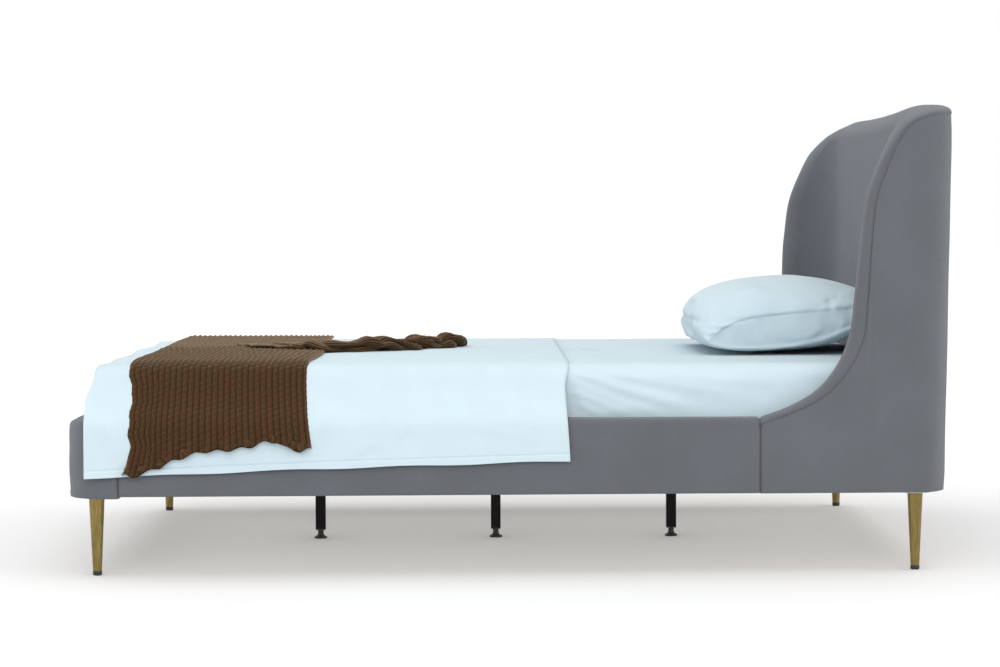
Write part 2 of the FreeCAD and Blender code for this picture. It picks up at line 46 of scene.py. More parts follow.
scene = bpy.context.scene


# ---- camera and light
CAMERA_AT = (7.4973, -0.0652, 0.8692)
CAMERA_YAW = 0.03474  # turned from -X towards +Y
CAMERA_PITCH = 0.04041  # below the horizon
CAMERA_ROLL = -0.003
CAMERA_LENS = 97.2
CAMERA_SHIFT = -0.08


def axes_matrix(x, y, z):
    """The matrix that turns the world's axes onto three others."""
    rows = np.array((x, y, z)).T
    return Matrix([list(map(float, row)) for row in rows]).to_4x4()


def make_camera():
    data = bpy.data.cameras.new("camera")
    data.sensor_width, data.lens, data.shift_x = 36, CAMERA_LENS, CAMERA_SHIFT
    data.clip_start, data.clip_end = 0.1, 200
    camera = bpy.data.objects.new("camera", data)
    scene.collection.objects.link(camera)
    level = math.cos(CAMERA_PITCH)
    ahead_x, ahead_y = -math.cos(CAMERA_YAW) * level, math.sin(CAMERA_YAW) * level
    ahead = np.array((ahead_x, ahead_y, -math.sin(CAMERA_PITCH)))
    right = np.cross(ahead, (0, 0, 1))
    right /= np.linalg.norm(right)
    up = np.cross(right, ahead)
    c, s = math.cos(CAMERA_ROLL), math.sin(CAMERA_ROLL)
    turned = axes_matrix(right * c + up * s, up * c - right * s, -ahead)
    camera.matrix_world = Matrix.Translation(CAMERA_AT) @ turned
    scene.camera = camera


def sun(name, towards, strength, spread):
    """A far, soft light that shines along `towards`."""
    data = bpy.data.lights.new(name, "SUN")
    data.energy, data.angle = strength, math.radians(spread)
    lamp = bpy.data.objects.new(name, data)
    scene.collection.objects.link(lamp)
    z = -np.array(towards, float)
    z /= np.linalg.norm(z)
    x = np.cross((0, 0, 1), z)
    x /= np.linalg.norm(x)
    lamp.matrix_world = axes_matrix(x, np.cross(z, x), z)


def floor_fill(power):
    """A wide weak light under the bed, so that its shadow stays pale."""
    data = bpy.data.lights.new("floor_fill", "AREA")
    data.shape, data.size, data.size_y, data.energy = "RECTANGLE", 1.3, 1.9, power
    data.color = (0.88, 0.95, 1.0)
    lamp = bpy.data.objects.new("floor_fill", data)
    lamp.location = (0, 0, 0.19)
    lamp.visible_camera = False
    scene.collection.objects.link(lamp)


def make_light():
    world = bpy.data.worlds.new("studio")
    world.use_nodes = True
    background = world.node_tree.nodes["Background"]
    background.inputs["Color"].default_value = (1, 1, 1, 1)
    background.inputs["Strength"].default_value = 1.0
    scene.world = world
    sun("front_softbox", (-1.0, 0.10, -0.52), 1.04, 40)
    sun("top_softbox", (0.10, 0.02, -1.0), 0.34, 60)
    sun("rear_softbox", (-0.45, -1.0, -0.35), 0.65, 50)
    sun("foot_softbox", (-0.20, 1.0, -0.30), 0.30, 50)
    floor_fill(3.0)
    scene.view_settings.view_transform = "Standard"


# ---- mesh helpers
def smooth(a, b, x):
    t = np.clip((x - a) / (b - a), 0, 1)
    return t * t * (3 - 2 * t)


WAVE_COUNT = 9


def waves(x, y, size, seed):
    """Soft random unevenness from -1 to 1 over two coordinates, `size` across."""
    draw = np.random.default_rng(seed)
    total = 0
    for _ in range(WAVE_COUNT):
        angle, phase = draw.uniform(0, TAU, 2)
        pitch = size * draw.uniform(0.7, 1.8)
        across = x * math.cos(angle) + y * math.sin(angle)
        total = total + np.sin(across * TAU / pitch + phase)
    return total / (0.6 * WAVE_COUNT)


def between(t, t0, t1, a, b):
    """Goes straight from a at t0 to b at t1."""
    return (t1 - t) / (t1 - t0) * a + (t - t0) / (t1 - t0) * b


def distance(points):
    """Distance along a path to each of its points."""
    gaps = np.linalg.norm(np.diff(points, axis=0), axis=1)
    return np.concatenate(([0], np.cumsum(gaps)))


def spline(points, step, first=()):
    """A smooth path through points at even steps along it; extra columns are carried."""
    p = np.array(points, float)
    p = np.vstack((2 * p[0] - p[1], p, 2 * p[-1] - p[-2]))
    gaps = np.linalg.norm(np.diff(p[:, :3], axis=0), axis=1)
    knots = np.concatenate(([0], np.cumsum(np.sqrt(gaps))))
    out = []
    for i in range(1, len(p) - 2):
        k, q = knots[i - 1 : i + 3], list(p[i - 1 : i + 3])
        t = np.linspace(k[1], k[2], 40, endpoint=False)[:, None]
        for n in (1, 2):
            q = [between(t, k[j], k[j + n], q[j], q[j + 1]) for j in range(4 - n)]
        out.append(between(t, k[1], k[2], *q))
    out = np.vstack((*out, p[-2:-1]))
    run = distance(out[:, :3])
    at = np.linspace(0, run[-1], max(3, round(run[-1] / step) + 1))
    at = np.union1d(at, first)
    return np.array([np.interp(at, run, out[:, k]) for k in range(out.shape[1])]).T


def lengths(grid, axis):
    """Distance along one axis of a grid of points."""
    gaps = np.linalg.norm(np.diff(grid, axis=axis), axis=2)
    start = np.zeros_like(np.take(gaps, [0], axis=axis))
    return np.cumsum(np.concatenate((start, gaps), axis=axis), axis=axis)


def grid_faces(rows, columns, wrap=False, start=0, flip=False):
    a = np.arange(rows - 1)[:, None] * columns
    b = np.arange(columns if wrap else columns - 1)[None, :]
    c = (b + 1) % columns
    quads = np.stack((a + b, a + c, a + columns + c, a + columns + b), axis=-1)
    quads = quads.reshape(-1, 4) + start
    return quads[:, ::-1] if flip else quads


def build(name, points, faces, uv, body, look, replaced):
    """A smooth mesh from points, faces and a UV for each point; look: material and slot, and the
    slot is not used.
    """
    material, slot = look
    mesh = bpy.data.meshes.new(name)
    mesh.from_pydata(
        np.asarray(points, float).tolist(), [], [list(map(int, f)) for f in faces]
    )
    layer = mesh.uv_layers.new(name="cloth")
    corners = np.empty(len(mesh.loops), int)
    mesh.loops.foreach_get("vertex_index", corners)
    layer.data.foreach_set("uv", np.asarray(uv, float)[corners].ravel())
    mesh.polygons.foreach_set("use_smooth", [len(f) <= 4 for f in faces])
    mesh.materials.append(material)
    mesh.update()
    obj = bpy.data.objects.new(name, mesh)
    scene.collection.objects.link(obj)
    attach(obj, body)
    if replaced:
        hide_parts(*replaced)
    return obj


def loft(name, rings, body, look, replaced=(), flip=False, caps=True):
    """A closed skin over rings of points, each ring a loop, with flat ends."""
    rings = np.asarray(rings)
    rows, columns = rings.shape[:2]
    faces = list(grid_faces(rows, columns, wrap=True, flip=flip))
    if caps:
        ends = list(range(columns)), [(rows - 1) * columns + i for i in range(columns)]
        faces.append(ends[0] if flip else ends[0][::-1])
        faces.append(ends[1][::-1] if flip else ends[1])
    uv = np.stack((lengths(rings, 0), lengths(rings, 1)), axis=-1).reshape(-1, 2)
    return build(name, rings.reshape(-1, 3), faces, uv, body, look, replaced)


def modify(obj, kind, **settings):
    m = obj.modifiers.new(kind.lower(), kind)
    for key, value in settings.items():
        setattr(m, key, value)
    return m


# ---- materials
class Paint:
    """A procedural material with one Principled shader."""

    def __init__(self, name, specular=0.5, **constants):
        self.material = bpy.data.materials.new(name)
        self.material.use_nodes = True
        self.tree = self.material.node_tree
        self.shader = self.tree.nodes["Principled BSDF"]
        self.normal = None
        self.shader.inputs["Specular IOR Level"].default_value = specular
        for key, value in constants.items():
            self.shader.inputs[key.replace("_", " ").title()].default_value = value

    def node(self, kind, inputs=(), **settings):
        n = self.tree.nodes.new(kind)
        for key, value in settings.items():
            setattr(n, key, value)
        for key, value in dict(inputs).items():
            if isinstance(value, bpy.types.NodeSocket):
                self.tree.links.new(value, n.inputs[key])
            else:
                n.inputs[key].default_value = value
        return n

    def place(self, source, scale=(1, 1, 1), turn=(0, 0, 0)):
        where = self.node("ShaderNodeTexCoord").outputs[source]
        inputs = {"Vector": where, "Scale": scale, "Rotation": turn}
        return self.node("ShaderNodeMapping", inputs).outputs[0]

    def noise(self, vector, scale, detail=3.0, roughness=0.55, distortion=0.0):
        inputs = {"Vector": vector, "Scale": scale, "Detail": detail}
        inputs |= {"Roughness": roughness, "Distortion": distortion}
        return self.node("ShaderNodeTexNoise", inputs).outputs["Fac"]

    def streaks(self, source, scale, detail):
        """Noise that is drawn out by a scale of its own for each axis."""
        return self.noise(self.place(source, scale), 1.0, detail)

    def bands(self, vector, pitch, direction="X", distortion=0.0):
        inputs = {"Vector": vector, "Scale": TAU / (20 * pitch), "Distortion": distortion}
        return self.node("ShaderNodeTexWave", inputs, bands_direction=direction).outputs["Fac"]

    def math(self, operation, a, b):
        return self.node("ShaderNodeMath", {0: a, 1: b}, operation=operation).outputs[0]

    def ramp(self, fac, *stops):
        n = self.node("ShaderNodeValToRGB", {"Fac": fac})
        points = n.color_ramp.elements
        while len(points) < len(stops):
            points.new(0.5)
        for point, (at, colour) in zip(points, stops):
            point.position = at
            point.color = (*colour, 1)
        return n.outputs["Color"]

    def shade(self, fac, *stops):
        """A ramp between greys."""
        return self.ramp(fac, *((at, grey(v)) for at, v in stops))

    def multiply(self, fac, a, b):
        inputs = {0: fac, 6: a, 7: b}
        n = self.node("ShaderNodeMix", inputs, data_type="RGBA", blend_type="MULTIPLY")
        return n.outputs[2]

    def relief(self, height, distance, strength):
        inputs = {"Height": height, "Distance": distance, "Strength": strength}
        if self.normal:
            inputs["Normal"] = self.normal
        self.normal = self.node("ShaderNodeBump", inputs).outputs[0]
        self.tree.links.new(self.normal, self.shader.inputs["Normal"])

    def colour(self, socket):
        self.tree.links.new(socket, self.shader.inputs["Base Color"])

    def roughness(self, fac, low, high):
        n = self.node("ShaderNodeMapRange", {"Value": fac, "To Min": low, "To Max": high})
        self.tree.links.new(n.outputs[0], self.shader.inputs["Roughness"])


def grey(v):
    return (v, v, v)


def scaled(colour, by):
    return tuple(c * by for c in colour)


def weave_height(p, vector, pitch):
    """Over-and-under threads: crossed bands, each raised where the other dips."""
    warp = p.bands(vector, pitch, "X")
    weft = p.bands(vector, pitch, "Y")
    slubs = p.noise(vector, 0.35 / pitch, 2.0)
    return p.math("ADD", p.math("MULTIPLY", warp, weft), p.math("MULTIPLY", slubs, 0.8))


def make_upholstery():
    base = (0.112, 0.119, 0.132)
    sheen = {"sheen_weight": 0.25, "sheen_roughness": 0.45, "sheen_tint": (0.8, 0.84, 0.9, 1)}
    p = Paint("upholstery_fabric", specular=0.25, roughness=0.92, **sheen)
    cloth = p.place("UV")
    threads = p.streaks("UV", (260, 900, 1), 2.0)
    cross = p.streaks("UV", (900, 260, 1), 2.0)
    fibre = p.math("MULTIPLY", p.math("ADD", threads, cross), 0.5)
    melange = p.ramp(
        fibre, (0.3, scaled(base, 0.72)), (0.52, base), (0.75, scaled(base, 1.3))
    )
    patches = p.noise(p.place("Object"), 5.0, 4.0)
    nap = p.shade(patches, (0.3, 0.93), (0.7, 1.06))
    p.colour(p.multiply(1.0, melange, nap))
    p.relief(weave_height(p, cloth, 0.0011), 0.0007, 0.55)
    p.relief(patches, 0.004, 0.25)
    return p.material


def make_cotton():
    base = (0.525, 0.635, 0.688)
    sheen = {"sheen_weight": 0.12, "sheen_roughness": 0.4}
    p = Paint("white_cotton", specular=0.3, roughness=0.85, **sheen)
    cloth = p.place("UV")
    soft = p.noise(p.place("Object"), 14.0, 5.0)
    threads = p.streaks("UV", (350, 1300, 1), 2.0)
    tone = p.ramp(soft, (0.3, scaled(base, 0.965)), (0.7, base))
    slub = p.shade(threads, (0.3, 0.97), (0.7, 1.0))
    p.colour(p.multiply(1.0, tone, slub))
    p.relief(soft, 0.006, 0.25)
    p.relief(weave_height(p, cloth, 0.0009), 0.0004, 0.4)
    return p.material


RIB = 0.0074  # half the distance from one knitted cable to the next
CABLE = 0.0165  # length of one knot of a cable


def make_knit():
    sheen = {"sheen_weight": 0.42, "sheen_roughness": 0.38, "sheen_tint": (0.80, 0.66, 0.45, 1)}
    p = Paint("brown_knit", specular=0.12, roughness=0.95, **sheen)
    red, olive = (0.060, 0.026, 0.012), (0.053, 0.029, 0.011)
    yarn = p.streaks("UV", (60, 14, 1), 3.0)
    twist = p.streaks("UV", (420, 190, 1), 4.0)
    tone = p.ramp(yarn, (0.35, red), (0.6, olive))
    ply = p.shade(twist, (0.3, 0.62), (0.5, 1.0), (0.72, 1.4))
    # the yarn lies in shade between the ribs
    valley = p.shade(p.bands(p.place("UV"), 2 * RIB), (0.0, 0.58), (0.4, 1.08))
    tone = p.multiply(1.0, tone, valley)
    p.colour(p.multiply(1.0, tone, ply))
    p.relief(twist, 0.0018, 0.6)
    return p.material


def make_wood(name, along, light, dark, ring=1.0, gloss=0.55):
    """Straight-grained wood whose grain runs along one axis."""
    p = Paint(name, roughness=gloss)
    stretch = [9.0 * ring] * 3
    stretch["XYZ".index(along)] = 0.7
    grain = p.noise(p.place("Object", stretch), 4.0, 6.0, 0.6, 0.6)
    fine = [300.0] * 3
    fine["XYZ".index(along)] = 6.0
    pores = p.streaks("Object", fine, 2.0)
    tone = p.ramp(grain, (0.32, dark), (0.5, light), (0.58, dark), (0.72, light))
    fleck = p.shade(pores, (0.35, 0.8), (0.55, 1.0))
    p.colour(p.multiply(0.7, tone, fleck))
    p.roughness(pores, gloss + 0.15, gloss - 0.1)
    p.relief(p.math("ADD", pores, grain), 0.0008, 0.35)
    return p.material


def make_plywood(name, across):
    """Veneer with the plies showing as thin bands across its thickness."""
    p = Paint(name, roughness=0.6)
    light, dark = (0.62, 0.44, 0.26), (0.42, 0.27, 0.14)
    grain = p.noise(p.place("Object", (7, 7, 0.8)), 5.0, 6.0, 0.6, 0.8)
    tone = p.ramp(grain, (0.35, dark), (0.55, light), (0.7, scaled(light, 1.1)))
    plies = p.bands(p.place("Object"), 0.003, across)
    ply = p.shade(plies, (0.35, 0.72), (0.6, 1.0))
    p.colour(p.multiply(0.6, tone, ply))
    p.relief(grain, 0.0008, 0.3)
    return p.material


def make_metal(name, base, metallic, low, high, scale, bump):
    p = Paint(name, specular=0.15, metallic=metallic)
    spots = p.noise(p.place("Object"), scale, 5.0, 0.6)
    p.colour(p.ramp(spots, (0.3, scaled(base, 0.7)), (0.7, scaled(base, 1.2))))
    p.roughness(spots, low, high)
    p.relief(spots, bump, 0.4)
    return p.material


def make_gold():
    """Brushed brass: fine lengthwise streaks with a few duller bands."""
    p = Paint("gold_metal", metallic=1.0)
    streaks = p.streaks("Object", (900, 900, 6), 3.0)
    stain = p.streaks("Object", (45, 45, 10), 3.0)
    bright = p.ramp(streaks, (0.3, (0.19, 0.135, 0.042)), (0.7, (0.36, 0.275, 0.105)))
    dull = p.shade(stain, (0.35, 0.72), (0.65, 1.0))
    p.colour(p.multiply(0.8, bright, dull))
    p.roughness(stain, 0.38, 0.2)
    p.relief(streaks, 0.0002, 0.2)
    return p.material


def make_plastic():
    p = Paint("black_plastic", roughness=0.42)
    grain = p.noise(p.place("Object"), 900.0, 3.0)
    wear = p.noise(p.place("Object"), 60.0, 4.0)
    p.colour(p.ramp(wear, (0.35, (0.006, 0.007, 0.009)), (0.75, (0.02, 0.022, 0.026))))
    p.roughness(wear, 0.35, 0.6)
    p.relief(grain, 0.0004, 0.4)
    return p.material


def make_webbing():
    p = Paint("webbing", roughness=0.9)
    cloth = p.place("Object")
    over = p.bands(cloth, 0.004, "X", 0.4)
    along = p.bands(cloth, 0.003, "Y", 0.4)
    threads = p.math("MULTIPLY", over, along)
    p.colour(p.ramp(threads, (0.1, (0.02, 0.02, 0.022)), (0.8, (0.09, 0.09, 0.1))))
    p.relief(threads, 0.0008, 0.8)
    return p.material


def make_floor_material():
    p = Paint("floor", roughness=0.9)
    haze = p.noise(p.place("Object"), 0.6, 2.0)
    p.colour(p.shade(haze, (0.3, 0.785), (0.7, 0.795)))
    return p.material


def make_ticking():
    base = (0.66, 0.67, 0.66)
    p = Paint("mattress_ticking", roughness=0.9, sheen_weight=0.1)
    cells = p.node("ShaderNodeTexVoronoi", {"Vector": p.place("Object"), "Scale": 55.0})
    figure = cells.outputs["Distance"]
    thread = p.bands(p.place("Object", turn=(0.3, 0.6, 0.8)), 0.0016)
    p.colour(p.ramp(figure, (0.2, scaled(base, 0.82)), (0.55, base)))
    p.relief(figure, 0.0025, 0.5)
    p.relief(thread, 0.0005, 0.4)
    return p.material


# each paired with a slot name
FABRIC = make_upholstery(), "upholstery_fabric"
COTTON = make_cotton(), "white_cotton"
KNIT = make_knit(), "brown_knit"
TICKING = make_ticking(), "mattress_ticking"


def dress_cad():
    pine, pine_dark = (0.66, 0.46, 0.25), (0.50, 0.31, 0.14)
    birch, birch_dark = (0.72, 0.56, 0.36), (0.60, 0.43, 0.25)
    timber = {a: make_wood(f"timber_{a}", a, pine, pine_dark) for a in "XYZ"}
    slat = make_wood("slat_wood", "X", birch, birch_dark, 2.0, 0.4)
    ply_y, ply_x = make_plywood("plywood_y", "Y"), make_plywood("plywood_x", "X")
    zinc = make_metal("zinc_steel", grey(0.62), 1.0, 0.3, 0.5, 140.0, 0.0002)
    powder = make_metal("black_steel", grey(0.005), 0.0, 0.5, 0.65, 1200.0, 0.0004)
    gold, plastic, webbing = make_gold(), make_plastic(), make_webbing()
    chosen = {
        "centre_beam": timber["Y"],
        "footboard_board": timber["X"],
        "headboard_ply": ply_y,
        "slats": slat,
        "slat_tapes": webbing,
        "centre_leg_inserts": plastic,
    }
    for part in ("lower", "middle", "upper"):
        chosen[f"headboard_{part}_rail"] = timber["X"]
    for side in ("left", "right"):
        for part in ("side_rail_board", "wing_base_rail", "slat_ledger", "head_ledger"):
            chosen[f"{side}_{part}"] = timber["Y"]
        for part in ("foot_corner_block", "head_corner_block"):
            chosen[f"{side}_{part}"] = timber["X"]
        for part in ("foot_corner_post", "headboard_post"):
            chosen[f"{side}_{part}"] = timber["Z"]
        chosen[f"{side}_wing_panel"] = ply_x
        for end in ("foot", "head"):
            chosen[f"{side}_{end}_leg"] = gold
            chosen[f"{side}_{end}_glide"] = plastic
    plates = ("beam_hangers", "connector_plates", "leg_plates")
    fasteners = ("connector_bolts", "leg_studs", "slat_screws", "ledger_screws")
    for part in plates + fasteners:
        chosen[part] = zinc
    for place in ("foot", "middle", "head"):
        chosen[f"{place}_centre_leg"] = powder
        chosen[f"{place}_levelling_foot"] = plastic
    chosen["centre_leg_flanges"] = powder
    for node, material in chosen.items():
        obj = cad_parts[node]
        for slot in obj.material_slots:
            slot.material = material
        if not obj.material_slots:
            obj.data.materials.append(material)


# ---- upholstery
low_rail, high_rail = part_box("right_side_rail_padding")
low_foot, high_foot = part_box("footboard_padding")
low_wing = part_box("right_wing_padding")[0]
low_back, high_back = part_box("headboard_padding")
low_bed, high_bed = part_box("mattress")

OUTER_X, INNER_X = high_rail.x, low_rail.x - 0.0006
FOOT_SEAM_Y, HEAD_SEAM_Y = low_rail.y, high_rail.y
RAIL_LOW, RAIL_TOP = low_rail.z, high_rail.z
COVER_LOW, FOOT_TOP = low_foot.z, high_foot.z
FOOT_Y = low_foot.y
THICK = OUTER_X - INNER_X
BOARD_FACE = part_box("right_side_rail_board")[1].x + 0.0006
CORNER_R = 0.110
SEAM_PULL = 0.0085  # how far the cover is drawn in where two covers meet


def pulled(away):
    """How far the cover is drawn in at a place that is this far away from the seam."""
    return SEAM_PULL * np.exp(-away / 0.0024)


def rail_profile(low, top, hem):
    """Cross-section of a covered rail as (outward, height): a hook over its board.

    Outward is 0 on the outer face and falls towards the bed.
    """
    board_back = -THICK
    board_front = BOARD_FACE - OUTER_X
    board_low, board_top = low + 0.006, top - 0.0115
    face = np.linspace(low + 0.004, top - 0.016, 26)
    lift = (face - low) / (top - low)
    outer = [
        (
            0.0022 * math.sin(math.pi * u) - 0.0016
            + hem * math.exp(-(((z - low - 0.010) / 0.0022) ** 2)),
            z,
        )
        for u, z in zip(lift, face)
    ]
    corner = [
        (-0.0145 + 0.0135 * math.cos(a), top - 0.0145 + 0.0145 * math.sin(a))
        for a in np.linspace(0.1, math.pi / 2, 9)
    ]
    roof = [(x, top + 0.0008 * math.sin(6 * x / THICK)) for x in (-0.024, -0.034, -0.044)]
    inner = [
        (board_back + 0.008 - 0.008 * math.sin(a), top - 0.008 + 0.008 * math.cos(a))
        for a in np.linspace(0, math.pi / 2, 5)
    ]
    hook = [
        (board_back, board_top),
        (board_front - 0.001, board_top),
        (board_front, board_top - 0.001),
        (board_front, board_low + 0.001),
        (board_front - 0.001, board_low),
        (board_back, board_low),
        (board_back, low + 0.001),
        (board_back + 0.001, low),
        (-0.02, low),
        (-0.005, low),
        (-0.0018, low + 0.0012),
    ]
    return np.array(outer + corner + roof + inner + hook)


NEAR_END = (0, 0.0008, 0.0018, 0.003, 0.005, 0.008, 0.012)


def end_steps(start, end, step):
    """Even steps with finer ones at both ends, where the cover is drawn in."""
    near = np.array((*NEAR_END, 0.02))
    middle = np.linspace(0.03, end - start - 0.03, max(2, round((end - start) / step)))
    return start + np.concatenate((near, middle, end - start - near[::-1]))


def section(profile, top, draw, soft):
    """The profile with its outside and roof drawn in by the seam and a little uneven."""
    out, z = profile.T
    out = np.where(out > -0.02, out - draw + soft, out)
    return out, np.where(z > top - 0.002, z - draw + soft, z)


def make_side_rails():
    profile = rail_profile(RAIL_LOW, RAIL_TOP, 0.0006)
    steps = end_steps(FOOT_SEAM_Y, HEAD_SEAM_Y, 0.012)
    for side, sign in (("right", 1), ("left", -1)):
        rings = []
        for y in steps:
            draw = pulled(y - FOOT_SEAM_Y) + pulled(HEAD_SEAM_Y - y)
            soft = 0.0007 * waves(y, profile[:, 1] * 2, 0.16, 3)
            out, z = section(profile, RAIL_TOP, draw, soft)
            rings.append(np.stack((sign * (OUTER_X + out), z * 0 + y, z), axis=-1))
        name, node = f"{side}_side_rail_cover", f"{side}_side_rail_padding"
        cover = loft(name, rings, "frame", FABRIC, [node], flip=sign > 0)


def foot_path():
    """Plan path of the foot's outer face from the right seam round to the left one."""
    centre = (OUTER_X - CORNER_R, FOOT_Y + CORNER_R)
    side = [(OUTER_X, FOOT_SEAM_Y - d, 1, 0) for d in (*NEAR_END, 0.016)]
    arc = []
    for a in np.linspace(0.0, math.pi / 2, 19):
        c, s = math.cos(a), math.sin(a)
        arc.append((centre[0] + CORNER_R * c, centre[1] - CORNER_R * s, c, -s))
    front = [(x, FOOT_Y, 0, -1) for x in np.linspace(centre[0] - 0.012, 0, 58)]
    half = side + arc + front
    other = [(-x, y, -nx, ny) for x, y, nx, ny in half[-2::-1]]
    return np.array(half + other)


def make_foot():
    profile = rail_profile(COVER_LOW, FOOT_TOP, 0.0012)
    rings = []
    for x, y, nx, ny in foot_path():
        draw = pulled(FOOT_SEAM_Y - y) if abs(x) > OUTER_X - 0.001 else 0
        soft = 0.0008 * waves(x, y + profile[:, 1] * 2, 0.14, 5)
        out, z = section(profile, FOOT_TOP, draw, soft)
        rings.append(np.stack((x + nx * out, y + ny * out, z), axis=-1))
    cover = loft("footboard_cover", rings, "frame", FABRIC, ["footboard_padding"])


BACK_Y = high_back.y  # outer face of the headboard at the top
BACK_LEAN = 0.019  # how much further forward it stands at the bottom
FACE_Y = low_back.y  # inner face of the headboard
INNER_R = 0.160
COVER_SPLIT_X = low_wing.x - 0.12  # where wing and headboard covers meet, past the curve
CROWN_Z = high_back.z - 0.001
ARC_Y, ARC_X = BACK_Y - CORNER_R, OUTER_X - CORNER_R  # ends of the rear corner's arc
# along the outer face in plan, the crest's height and how deep its outer roll is
CREST = [
    (OUTER_X, HEAD_SEAM_Y, 0.3880, 0.014),
    (OUTER_X, 0.682, 0.412, 0.016),
    (OUTER_X, 0.756, 0.454, 0.021),
    (OUTER_X, 0.808, 0.517, 0.028),
    (OUTER_X, 0.838, 0.590, 0.034),
    (OUTER_X, 0.852, 0.693, 0.032),
    (OUTER_X, 0.866, 0.828, 0.027),
    (OUTER_X, 0.881, 0.937, 0.024),
    (OUTER_X, 0.910, 1.015, 0.021),
    (OUTER_X, 0.948, 1.087, 0.017),
    (OUTER_X, 0.990, 1.131, 0.014),
    (OUTER_X - 0.007, 1.040, 1.153, 0.017),
    (OUTER_X - 0.044, 1.088, 1.165, 0.022),
    (ARC_X - 0.020, BACK_Y, 1.1705, 0.027),
    (0.577, BACK_Y, 1.1725, 0.028),
    (0.300, BACK_Y, 1.1685, 0.028),
    (0.000, BACK_Y, 1.1665, 0.028),
]
LEFT_BULGE = 0.0135  # how much further forward the left wing's front edge is stuffed
BULGE_RISE, BULGE_END = (0.58, 0.82), (1.07, 1.155)  # heights where that comes and goes
SEAM_GROOVE = 0.0042  # depth of the stitched groove beside the rolled band
GROOVE_SHAPE = (0.08, 0.3, 0.75, 1, 0.55, 0.12)


def onto(path_x, path_y, radius, x, y):
    """Nearest place on a rounded corner between the faces x=path_x and y=path_y."""
    cx, cy = path_x - radius, path_y - radius
    dx, dy = x - cx, y - cy
    if dy <= 0:
        return path_x, y
    if dx <= 0:
        return x, path_y
    reach = math.hypot(dx, dy)
    return cx + dx / reach * radius, cy + dy / reach * radius


def across_from(x, y):
    """The place on the inner face that a place on the outer face is joined to."""
    cx, cy = INNER_X - INNER_R, FACE_Y - INNER_R
    if x <= ARC_X:
        return x * cx / ARC_X, FACE_Y
    early = math.radians(20)  # up to here the two faces are joined straight across
    begin = cy + INNER_R * math.sin(early)
    if y <= begin:
        turn = math.asin(max(0, y - cy) / INNER_R)
        return cx + INNER_R * math.cos(turn), y
    bend = math.atan2(max(0, y - ARC_Y), x - ARC_X)
    run = min(y, ARC_Y) - begin + CORNER_R * bend
    whole = ARC_Y - begin + CORNER_R * math.pi / 2
    t = run / whole
    slope = whole / (INNER_R * math.cos(early))
    turn = (
        early
        + (t**3 - 2 * t**2 + t) * slope
        + (3 * t**2 - 2 * t**3) * (math.pi / 2 - early)
        + (t**3 - t**2) * 0.4
    )
    return cx + INNER_R * math.cos(turn), cy + INNER_R * math.sin(turn)


def wall(end, low, down):
    """Points straight down from one end of the roll, finest next to it."""
    z = low + (end[2] - 0.0012 - low) * (1 - down)
    return np.column_stack((np.tile(end[:2], (len(down), 1)), z))


def crest_ribs(bulge):
    """For each place along the crest: a closed loop of points round the upholstery."""
    half = spline(CREST, 0.009, NEAR_END)
    z = half[:, 2]
    half[:, 1] -= bulge * smooth(*BULGE_RISE, z) * (1 - smooth(*BULGE_END, z))
    outer_plan = np.array([onto(OUTER_X, BACK_Y, CORNER_R, x, y) for x, y in half[:, :2]])
    inner_plan = np.array([across_from(x, y) for x, y in outer_plan])
    crest = np.column_stack(((outer_plan + inner_plan) / 2, half[:, 2]))
    reach = np.column_stack(((outer_plan - inner_plan) / 2, np.zeros(len(half))))
    step = np.gradient(crest, axis=0)
    ribs = []
    turn = np.linspace(0, math.pi, 31)
    down = np.concatenate(((0, 0.0035, 0.007, 0.0105, 0.016, 0.024), np.linspace(0.04, 1, 22)))
    low = COVER_LOW + 0.0045
    for c, r, tangent, w in zip(crest, reach, step, half[:, 3]):
        ahead = np.array((-r[1], r[0], 0)) / np.linalg.norm(r)
        run = np.array((ahead @ tangent, tangent[2]))
        run /= np.linalg.norm(run)
        toe = smooth(HEAD_SEAM_Y, HEAD_SEAM_Y + 0.05, c[1])
        up = -ahead * run[1] * toe + np.array((0, 0, run[0] + (1 - run[0]) * (1 - toe)))
        roll = []
        for a in turn:
            ca, sa = math.cos(a), math.sin(a)
            depth = w if a < math.pi / 2 else w * 1.9
            sharp = 2 / (2.5 if a < math.pi / 2 else 2.0)
            side = math.copysign(abs(ca) ** sharp, ca)
            roll.append(c + r * side + up * depth * (abs(sa) ** sharp - 1))
        roll = np.array(roll)
        # both ends of the roll are eased onto the faces that they run into
        first = onto(OUTER_X, BACK_Y, CORNER_R, *roll[0, :2]) - roll[0, :2]
        last = onto(INNER_X, FACE_Y, INNER_R, *roll[-1, :2]) - roll[-1, :2]
        ease = np.clip(1 - turn / (math.pi / 2), -1, 1)[:, None]
        roll[:, :2] += np.where(ease > 0, first, last) * ease**2
        side, face = wall(roll[0], low, down)[::-1], wall(roll[-1], low, down)
        under = [face[-1] + (side[0] - face[-1]) * u for u in (0.06, 0.5, 0.94)]
        ribs.append(np.vstack((side, roll, face, under)))
    return half, np.array(ribs), len(down), len(turn)


